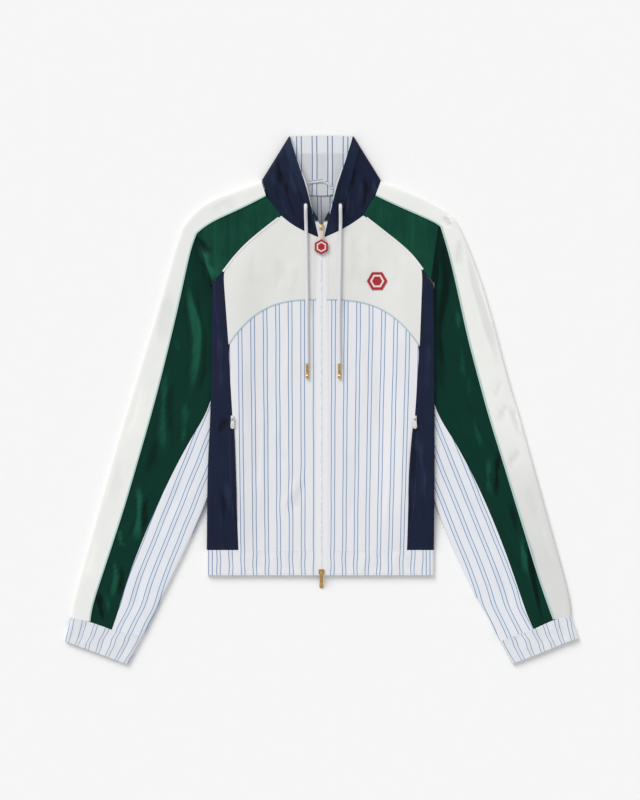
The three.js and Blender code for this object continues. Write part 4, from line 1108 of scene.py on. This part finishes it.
def grains_tree():
    """Small rounded grains at even steps along a line: stitches, or the teeth of a zip."""
    tree = bpy.data.node_groups.new("grains along a line", "GeometryNodeTree")
    face = tree.interface
    geometry = "NodeSocketGeometry"
    face.new_socket("Line", in_out="INPUT", socket_type=geometry)
    for key, kind, value in [
        ("Step", FLOAT, 0.003), ("Size", VECTOR, (0.0022, 0.0006, 0.0004)), ("Unevenness", FLOAT, 0.1),
        ("Seed", "NodeSocketInt", GRAIN_SEED),
    ]:
        face.new_socket(key, in_out="INPUT", socket_type=kind).default_value = value
    face.new_socket("Finish", in_out="INPUT", socket_type="NodeSocketMaterial")
    face.new_socket("Geometry", in_out="OUTPUT", socket_type=geometry)
    s = Shader(tree)
    given, out = s.node("NodeGroupInput"), s.node("NodeGroupOutput")
    line = s.node("GeometryNodeMeshToCurve", {"Mesh": given.outputs["Line"]})
    even = s.node("GeometryNodeResampleCurve", {"Curve": line.outputs[0], "Length": given.outputs["Step"]},
                  mode="LENGTH")
    along = s.node("GeometryNodeInputTangent")
    turn = s.node("FunctionNodeAlignRotationToVector", {"Vector": along.outputs[0]}, axis="X")
    grain = s.node("GeometryNodeMeshIcoSphere", {"Radius": 0.5, "Subdivisions": 2})
    smooth = s.node("GeometryNodeSetShadeSmooth", {"Geometry": grain.outputs["Mesh"]})
    small = s.math("SUBTRACT", 1.0, given.outputs["Unevenness"])
    large = s.math("ADD", 1.0, given.outputs["Unevenness"])
    chance = s.node("FunctionNodeRandomValue", data_type="FLOAT")
    for key, source in ((2, small), (3, large), (8, given.outputs["Seed"])):
        tree.links.new(source, chance.inputs[key])
    size = s.node("ShaderNodeVectorMath", {0: given.outputs["Size"]}, operation="SCALE")
    tree.links.new(chance.outputs[1], size.inputs["Scale"])
    placed = s.node("GeometryNodeInstanceOnPoints", {
        "Points": even.outputs[0], "Instance": smooth.outputs[0], "Rotation": turn.outputs[0],
        "Scale": size.outputs[0]})
    real = s.node("GeometryNodeRealizeInstances", {"Geometry": placed.outputs[0]})
    coated = s.node("GeometryNodeSetMaterial", {
        "Geometry": real.outputs[0], "Material": given.outputs["Finish"]})
    tree.links.new(coated.outputs[0], out.inputs["Geometry"])
    return tree


def make_grains(tree, name, lines, finish, step, size, unevenness=0.1):
    """One mesh of grains along all the lines, which are lists of points in metres."""
    points, edges = [], []
    for line in lines:
        start = len(points)
        points += [tuple(p) for p in line]
        edges += [(i, i + 1) for i in range(start, len(points) - 1)]
    mesh = bpy.data.meshes.new(name)
    mesh.from_pydata(points, edges, [])
    obj = link(name, mesh)
    grains = obj.modifiers.new("grains", "NODES")
    grains.node_group = tree
    values = {"Step": step, "Size": size, "Unevenness": unevenness, "Seed": GRAIN_SEED, "Finish": finish}
    for item in tree.interface.items_tree:
        if item.in_out == "INPUT" and item.name in values:
            grains[item.identifier] = values[item.name]
    return plain_mesh(obj)


def laid_on(piece, line):
    """The line's points dropped onto the top of this piece."""
    tree = BVHTree.FromPolygons([v.co for v in piece.data.vertices],
                                [list(p.vertices) for p in piece.data.polygons])
    laid = []
    for x, y in spaced_path(np.array(line) * MM, LINE_STEP):
        hit = tree.ray_cast(Vector((x, y, DROP_FROM)), Vector((0, 0, -1)))[0]
        if hit:
            laid.append((x, y, hit.z + STITCH_LIFT))
    return laid


# How finely a line of stitches is laid, and from how high
LINE_STEP = 0.0015
DROP_FROM = 0.06

STITCH_LIFT = 0.0001
STITCH_SIZE = (0.0021, 0.0006, 0.00045)
STITCH_STEP = 0.0029

# Lines of stitches: the piece they are on, the thread, and their points in millimetres
STITCH_LINES = [
    ("front_left", "white thread", [(-10.6, 142), (-10.6, 0), (-10.6, -219)]),
    ("front_right", "white thread", [(10.6, 142), (10.6, 0), (10.6, -219)]),
    ("yoke_left", "white thread", [(-10.6, 228), (-10.6, 190), (-10.6, 152)]),
    ("yoke_right", "white thread", [(10.6, 228), (10.6, 190), (10.6, 152)]),
    ("hem_front_left", "white thread", [(-152, -223), (-80, -223), (-11, -223)]),
    ("hem_front_right", "white thread", [(11, -223), (80, -223), (149, -223)]),
    ("hem_front_left", "white thread", [(-152, -255), (-80, -255), (-11, -255)]),
    ("hem_front_right", "white thread", [(11, -255), (80, -255), (149, -255)]),
    ("cuff_left", "white thread", [(-366, -323.5), (-316, -336.5), (-266, -350)]),
    ("cuff_right", "white thread", [(365, -322.5), (316, -339), (266, -356)]),
    ("collar_inner", "white thread", [(-40, 363.7), (0, 364.2), (40, 363.7)]),
    ("side_left", "navy thread", [(-134.4, -30), (-134, -100), (-129.5, -176)]),
    ("side_right", "navy thread", [(141, -30), (139.5, -100), (134, -176)]),
]


def make_stitches(tree, made, finish):
    lines = {}
    for name, thread, line in STITCH_LINES:
        lines.setdefault(thread, []).append(laid_on(made[name], line))
    for thread, laid in lines.items():
        obj = make_grains(tree, thread.replace(" ", "_") + "_stitches", laid, finish[thread], STITCH_STEP,
                          STITCH_SIZE)
        place_piece(obj, "root", "white_tape" if thread == "white thread" else "navy_cloth")


TOOTH_STEP = 0.0018
TOOTH_SIZE = (0.0014, 0.0022, 0.0009)
TOOTH_UNEVENNESS = 0.03

# The two rows' distance from the middle, how far they and the core lie below the solid's top, and how
# far the core reaches out under them
ROW_OUT = 0.0005
TEETH_SUNK = 0.0003
CORE_REACH = 0.00055


def make_teeth(tree, finish):
    """Closed teeth of the zip: two rows that meet, each tooth of one between two of the other."""
    core = dress("zip_teeth", 2, seam=CORE_REACH)
    points = points_of(core)
    places, row_of = np.unique(np.round(points[:, 1], 3), return_inverse=True)
    highest = np.full(len(places), -1.0)
    np.maximum.at(highest, row_of.ravel(), points[:, 2])
    rows = np.arange(points[:, 1].min(), points[:, 1].max() - TOOTH_STEP, TOOTH_STEP)
    tops = np.interp(rows, places, highest)
    lines = []
    for sign in (-1, 1):
        shift = TOOTH_STEP / 4 * (1 + sign)
        lines.append([(sign * ROW_OUT, row + shift, top - TEETH_SUNK) for row, top in zip(rows, tops)])
    points[:, 2] -= TEETH_SUNK
    set_points(core, points)
    paint(core, finish["white teeth"])
    place_piece(core, "root", "zip_teeth", "zip_teeth")
    obj = make_grains(tree, "zip_teeth_closed", lines, finish["white teeth"], TOOTH_STEP, TOOTH_SIZE,
                      TOOTH_UNEVENNESS)
    place_piece(obj, "root", "zip_teeth")


# Hard and small pieces: the body they ride on, finish, material slot and the width of their rounded
# edges in millimetres
SMALL_PIECES = {
    "slider_top": ("root", "pale gold", "gold_metal", 0.35),
    "slider_bottom": ("root", "gold", "gold_metal", 0.35),
    "pull_top_frame": ("top_pull", "pale gold", "gold_metal", 0.25),
    "pull_bottom": ("bottom_pull", "gold", "gold_metal", 0.35),
    "pull_top_strap": ("top_pull", "cream strap", "cream_strap", 0.3),
    "pocket_slider_left": ("root", "white enamel", "white_metal", 0.3),
    "pocket_slider_right": ("root", "white enamel", "white_metal", 0.3),
    "pocket_pull_left": ("pocket_pull_left", "white enamel", "white_metal", 0.3),
    "pocket_pull_right": ("pocket_pull_right", "white enamel", "white_metal", 0.3),
    "eyelet_left": ("root", "navy eyelet", "navy_cloth", 0.3),
    "eyelet_right": ("root", "navy eyelet", "navy_cloth", 0.3),
}


def rounded_piece(name, width):
    """A hard piece on its solid's form, with its edges rounded off."""
    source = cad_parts[name]
    bm = bmesh.new()
    bm.from_mesh(source.data)
    bm.transform(source.matrix_world)
    bmesh.ops.remove_doubles(bm, verts=bm.verts, dist=1e-5)
    bmesh.ops.dissolve_limit(bm, angle_limit=math.radians(1), verts=bm.verts, edges=bm.edges)
    mesh = bpy.data.meshes.new(name + "_rounded")
    bm.to_mesh(mesh)
    bm.free()
    obj = link(name + "_rounded", mesh)
    bevel = obj.modifiers.new("edges", "BEVEL")
    bevel.width = width * MM
    bevel.segments = 3
    bevel.limit_method = "ANGLE"
    bevel.angle_limit = math.radians(40)
    plain_mesh(obj)
    sharpen(obj, HARD_RIM_ANGLE)
    return obj


def make_small_pieces(finish):
    for name, (body, look, slot, width) in SMALL_PIECES.items():
        obj = rounded_piece(name, width)
        keep_map(obj, left_right, up_down)
        layer = obj.data.attributes.new("fold", "FLOAT", "POINT")
        layer.data.foreach_set("value", np.zeros(len(obj.data.vertices), dtype=np.float32))
        paint(obj, finish[look])
        place_piece(obj, body, slot, name)


# Six-sided pieces: the body they ride on, finish, middle in millimetres, reach to a flat side in
# millimetres and whether their corners point up and down
SIX_SIDED = {
    "chest_patch": ("root", "red embroidery", (82.05, 175.0), 13.0, False),
    "pull_top_badge": ("top_pull", "red badge", (0.0, 225.05), 9.7, True),
}

# Shares of the way out at which the ring starts and ends, and the border starts and ends; how high the
# ring is, and the border as a share of it
RING_INNER = (0.46, 0.52)
RING_OUTER = (0.68, 0.74)
BORDER = (0.84, 0.9)
SIX_SIDED_RIM = (0.94, 0.99)
RING_RAISED = 0.00022
BORDER_RAISED = 0.6


def make_six_sided(finish):
    for name, (body, look, middle, reach, upright) in SIX_SIDED.items():
        obj = dress(name, 3, seam=0)
        centre = np.array(middle) * MM
        maps = [lambda p, k=k, c=centre: p[:, k] - c[k] for k in (0, 1)]
        if upright:
            maps.reverse()
        keep_map(obj, *maps)
        points = points_of(obj)
        u, v = (across(points) for across in maps)
        far = np.maximum(np.abs(u) * math.cos(math.pi / 6) + np.abs(v) * 0.5, np.abs(v)) / (reach * MM)
        raised = ramp(far, *RING_INNER) * (1 - ramp(far, *RING_OUTER)) + BORDER_RAISED * ramp(far, *BORDER)
        top = points[:, 2] > (points[:, 2].min() + points[:, 2].max()) / 2
        points[:, 2] += RING_RAISED * raised * (1 - ramp(far, *SIX_SIDED_RIM)) * top
        set_points(obj, points)
        paint(obj, finish[look])
        place_piece(obj, body, "red_badge", name)


# Woven cloths: the colours of their painted shade in hollows, plain cloth and painted highlight on ridges as
# they look on a screen, roughness, sheen, and what differs from the usual woven cloth. Streaks are painted
# streaks of highlight. The strip nylon is the off white nylon with stronger painted light and shade, and
# the white tape's first colour is its own navy inside the collar.
WOVEN = {
    "off white nylon": ((202, 203, 200), (228, 228, 225), (237, 238, 235), 0.62, 0.1, {"cloud": 0.35}),
    "off white strip nylon": ((194, 195, 194), (222, 223, 221), (245, 246, 242), 0.62, 0.1, {"cloud": 0.3}),
    "off white piping": ((206, 208, 205), (232, 233, 230), (240, 241, 238), 0.6, 0.1, {}),
    "green satin": ((3, 25, 19), (6, 52, 41), (26, 88, 67), 0.4, 0.02,
                    {"cloud": 0.6, "gloss": 0.08, "streaks": 0.24}),
    "navy satin": ((14, 19, 34), (28, 35, 57), (48, 57, 86), 0.5, 0.02,
                   {"cloud": 0.6, "gloss": 0.08, "streaks": 0.5}),
    "collar navy": ((9, 13, 26), (25, 33, 54), (40, 52, 80), 0.5, 0.02,
                    {"cloud": 0.5, "gloss": 0.08, "streaks": 0.3}),
    "mint piping": ((150, 180, 174), (178, 205, 199), (198, 222, 216), 0.6, 0.1, {}),
    "chest piping": ((150, 174, 182), (178, 200, 206), (196, 216, 221), 0.6, 0.1, {}),
    "white tape": ((26, 33, 54), (232, 233, 236), (240, 241, 244), 0.75, 0.1,
                   {"threads": 1800.0, "weave": 0.00012, "cloud": 0.1}),
    "cream strap": ((196, 176, 160), (222, 205, 190), (236, 222, 208), 0.6, 0.1, {"threads": 5000.0}),
}

# Striped cloths: pitch, start and width of the pairs in metres, the colours of line, band and ground,
# how strongly the band is hatched, and what differs from the usual shirting. The collar lining has deeper
# painted shade, and the back is the shirting darkened all over as painted shade in the neck.
BODY_STRIPES = ((120, 139, 177), (216, 228, 237), (230, 231, 235), 0.35, {})
SLEEVE_STRIPES = ((116, 137, 178), (210, 222, 234), (229, 233, 239), 0.6, {"line": 0.0013})
CUFF_STRIPES = ((124, 138, 168), (214, 221, 230), (225, 229, 234), 0.4, {"line": 0.0012})
STRIPED = {
    "shirting left front": (0.01845, -0.0093, 0.0055, *BODY_STRIPES),
    "shirting right front": (0.01845, 0.0181, 0.0055, *BODY_STRIPES),
    "shirting back hem": (0.0178, -0.0029, 0.0055, *BODY_STRIPES),
    "shirting left sleeve": (0.0173, 0.004, 0.0055, *SLEEVE_STRIPES),
    "shirting right sleeve": (0.0173, 0.006, 0.0055, *SLEEVE_STRIPES),
    "shirting left cuff": (0.0173, 0.004, 0.0055, *CUFF_STRIPES),
    "shirting right cuff": (0.0173, 0.006, 0.0055, *CUFF_STRIPES),
    "shirting collar lining": (0.0229, -0.0101, 0.0069, (98, 112, 146), (216, 228, 237), (226, 229, 232),
                               0.35, {"line": 0.0017, "shade_share": 0.6}),
    "shirting back": (0.0185, -0.0029, 0.0055, (84, 98, 130), (176, 188, 200), (200, 204, 208), 0.35,
                      {"shade_share": 0.45}),
    "loop tape": (0.012, 0.3192, 0.0037, (74, 88, 124), (214, 220, 228), (206, 210, 214), 0.0,
                  {"line": 0.0008}),
}

# Hard finishes: colour, worn colour, roughness and how metallic
HARD = {
    "gold": ((196, 152, 84), (226, 190, 128), 0.24, 1.0),
    "pale gold": ((222, 194, 146), (240, 222, 188), 0.3, 1.0),
    "white enamel": ((228, 228, 226), (208, 208, 204), 0.35, 0.0),
    "white teeth": ((236, 237, 240), (220, 222, 226), 0.4, 0.0),
    "navy eyelet": ((26, 34, 58), (44, 54, 82), 0.4, 0.3),
}
THREADS = {
    "white thread": ((226, 228, 232), (206, 209, 214)),
    "navy thread": ((44, 52, 78), (30, 37, 58)),
}


def make_materials():
    made = {}
    for name, (deep, plain, bright, roughness, sheen, more) in WOVEN.items():
        made[name] = shiny_cloth(name, rgb(*deep), rgb(*plain), rgb(*bright), roughness, sheen, **more)
    for name, (pitch, start, apart, line, band, ground, hatch, more) in STRIPED.items():
        made[name] = striped_cloth(name, pitch, start, apart, rgb(*line), rgb(*band), rgb(*ground), hatch,
                                   **more)
    for name, (colour, worn, roughness, metallic) in HARD.items():
        made[name] = metal_material(name, rgb(*colour), rgb(*worn), roughness, metallic)
    for name, (light, dark) in THREADS.items():
        made[name] = thread_material(name, rgb(*light), rgb(*dark))
    for _, name, _, reach, _ in SIX_SIDED.values():
        made[name] = patch_material(name, reach * MM)
    made["white braid"] = braid_material("white braid", rgb(238, 238, 242), rgb(206, 208, 214))
    return made


def make_cords(finish):
    for side in SIDES:
        route = np.array(CORD_ROUTES[side]) * MM
        path = spaced_path(route, CORD_STEP)
        cord = tube(f"drawcord_{side}_braid", path, CORD_RADIUS)
        paint(cord, finish["white braid"])
        place_piece(cord, "root", "cord", f"drawcord_{side}")
        repaint(f"cord_tip_{side}", finish["gold"])


# Each cloth piece: levels of smoothing, layer, finish, material slot, and how strongly its folds show
# in its colour as painted highlight and shade
CLOTH = {
    "yoke": (3, "body", "off white nylon", "off_white_cloth", 0.3),
    "sleeve_strip": (3, "arm", "off white strip nylon", "off_white_cloth", 0.5),
    "sleeve_front": (3, "arm", "green satin", "green_cloth", 0.8),
    "sleeve_back": (2, "arm", "green satin", "green_cloth", 0.8),
    "side": (3, "body", "navy satin", "navy_cloth", 0.7),
    "front": (3, "body", "shirting {side} front", "striped_cloth", 0.5),
    "hem_front": (3, "body", "shirting {side} front", "striped_cloth", 0.4),
    "sleeve_under": (3, "arm", "shirting {side} sleeve", "striped_cloth", 0.5),
    "cuff": (3, "arm", "shirting {side} cuff", "striped_cloth", 0.4),
    "piping_yoke": (2, "body", "off white piping", "piping", 0.2),
    "piping_chest": (2, "body", "chest piping", "piping", 0.2),
    "piping_sleeve": (2, "arm", "mint piping", "piping", 0.2),
    "zip_tape": (2, None, "white tape", "white_tape", 0.0),
    "pocket_zip": (2, "body", "navy satin", "navy_cloth", 0.2),
}
CLOTH_WHOLE = {
    "back": (2, "body", "shirting back", "striped_cloth", 0.0),
    "hem_back": (2, "body", "shirting back hem", "striped_cloth", 0.3),
    "collar_outer": (3, "collar", "collar navy", "navy_cloth", 1.0),
    "collar_inner": (3, "collar", "shirting collar lining", "striped_cloth", 0.0),
    "hanger_loop": (2, None, "loop tape", "white_tape", 0.0),
}


def maps_for(name, side):
    if name in ("front", "hem_front"):
        return front_across(side), up_down
    if name == "sleeve_under":
        return sleeve_across(side), sleeve_along(side)
    if name == "cuff":
        return cuff_across(side), up_down
    if name in ("sleeve_front", "sleeve_back", "sleeve_strip"):
        return arm_across(side), sleeve_along(side)
    if name == "hanger_loop":
        return loop_across, left_right
    return left_right, up_down


def piping_set_in(points):
    """Piping sits in its seam, nearly level with the cloth on both sides."""
    points[:, 2] -= PIPING_DROP
    return points


def pocket_set_in(points):
    """The pocket zip narrows into the side seam at its lower end."""
    x, y = points[:, 0], points[:, 1]
    sign = np.sign(x)
    along = np.clip((POCKET_ENDS[0] - y) / (POCKET_ENDS[0] - POCKET_ENDS[1]), 0, 1)
    left, right = POCKET_LINE["left"], POCKET_LINE["right"]
    start = np.where(x < 0, left[0], right[0])
    end = np.where(x < 0, left[1], right[1])
    middle = (start + (end - start) * along) * MM
    narrow = 1 - 0.8 * ramp(along, 0.72, 1.0)
    points[:, 0] = middle + (x - middle) * narrow + sign * 0.0012 * ramp(along, 0.1, 0.6)
    return points


def hem_set_in(points):
    """The hem band is drawn up a little by its elastic."""
    below = np.minimum(points[:, 1] - HEM_TOP, 0)
    points[:, 1] -= below * HEM_DRAWN
    return points


def tape_set_in(points):
    """The tape ends with the hem, and its upper ends lie hidden inside the collar."""
    points = hem_set_in(points)
    tucked = ramp(points[:, 1], 0.266, 0.292)
    points[:, 2] -= TAPE_TUCK * tucked
    points[:, 0] += np.sign(points[:, 0]) * TAPE_TUCK * tucked
    return points


HEM_TOP = -0.2212
HEM_DRAWN = 0.085
TAPE_TUCK = 0.008
PIPING_DROP = 0.0008
POCKET_ENDS = (-0.031, -0.177)
POCKET_LINE = {"left": (-130.2, -123.5), "right": (136.8, 127.1)}
SEAM_REACH = {"piping_yoke": 0.0002, "piping_chest": -0.00025, "piping_sleeve": -0.0001, "zip_tape": 0.00046,
              "pocket_zip": 0}
SET_INS = {"piping_yoke": piping_set_in, "piping_chest": piping_set_in, "pocket_zip": pocket_set_in,
           "hem_front": hem_set_in, "hem_back": hem_set_in, "zip_tape": tape_set_in}


def make_cloth_piece(node, name, side, row, finish):
    levels, layer, look, slot, paint_share = row
    obj = dress(node, levels, layer, seam=SEAM_REACH.get(name, HALF_SEAM))
    if name in SET_INS:
        points = points_of(obj)
        set_points(obj, SET_INS[name](points))
    keep_fold(obj, layer or "body", paint_share, SHADES.get(name))
    keep_map(obj, *maps_for(name, side))
    paint(obj, finish[look.format(side=side)])
    place_piece(obj, "root", slot, node)
    return obj


def make_cloth(finish):
    made = {}
    for name, row in CLOTH.items():
        for side in SIDES:
            node = f"{name}_{side}"
            made[node] = make_cloth_piece(node, name, side, row, finish)
    for name, row in CLOTH_WHOLE.items():
        made[name] = make_cloth_piece(name, name, "left", row, finish)
    return made


def build():
    finish = make_materials()
    make_camera()
    make_cords(finish)
    make_studio()
    made = make_cloth(finish)
    make_small_pieces(finish)
    make_six_sided(finish)
    tree = grains_tree()
    make_teeth(tree, finish)
    make_stitches(tree, made, finish)


build()
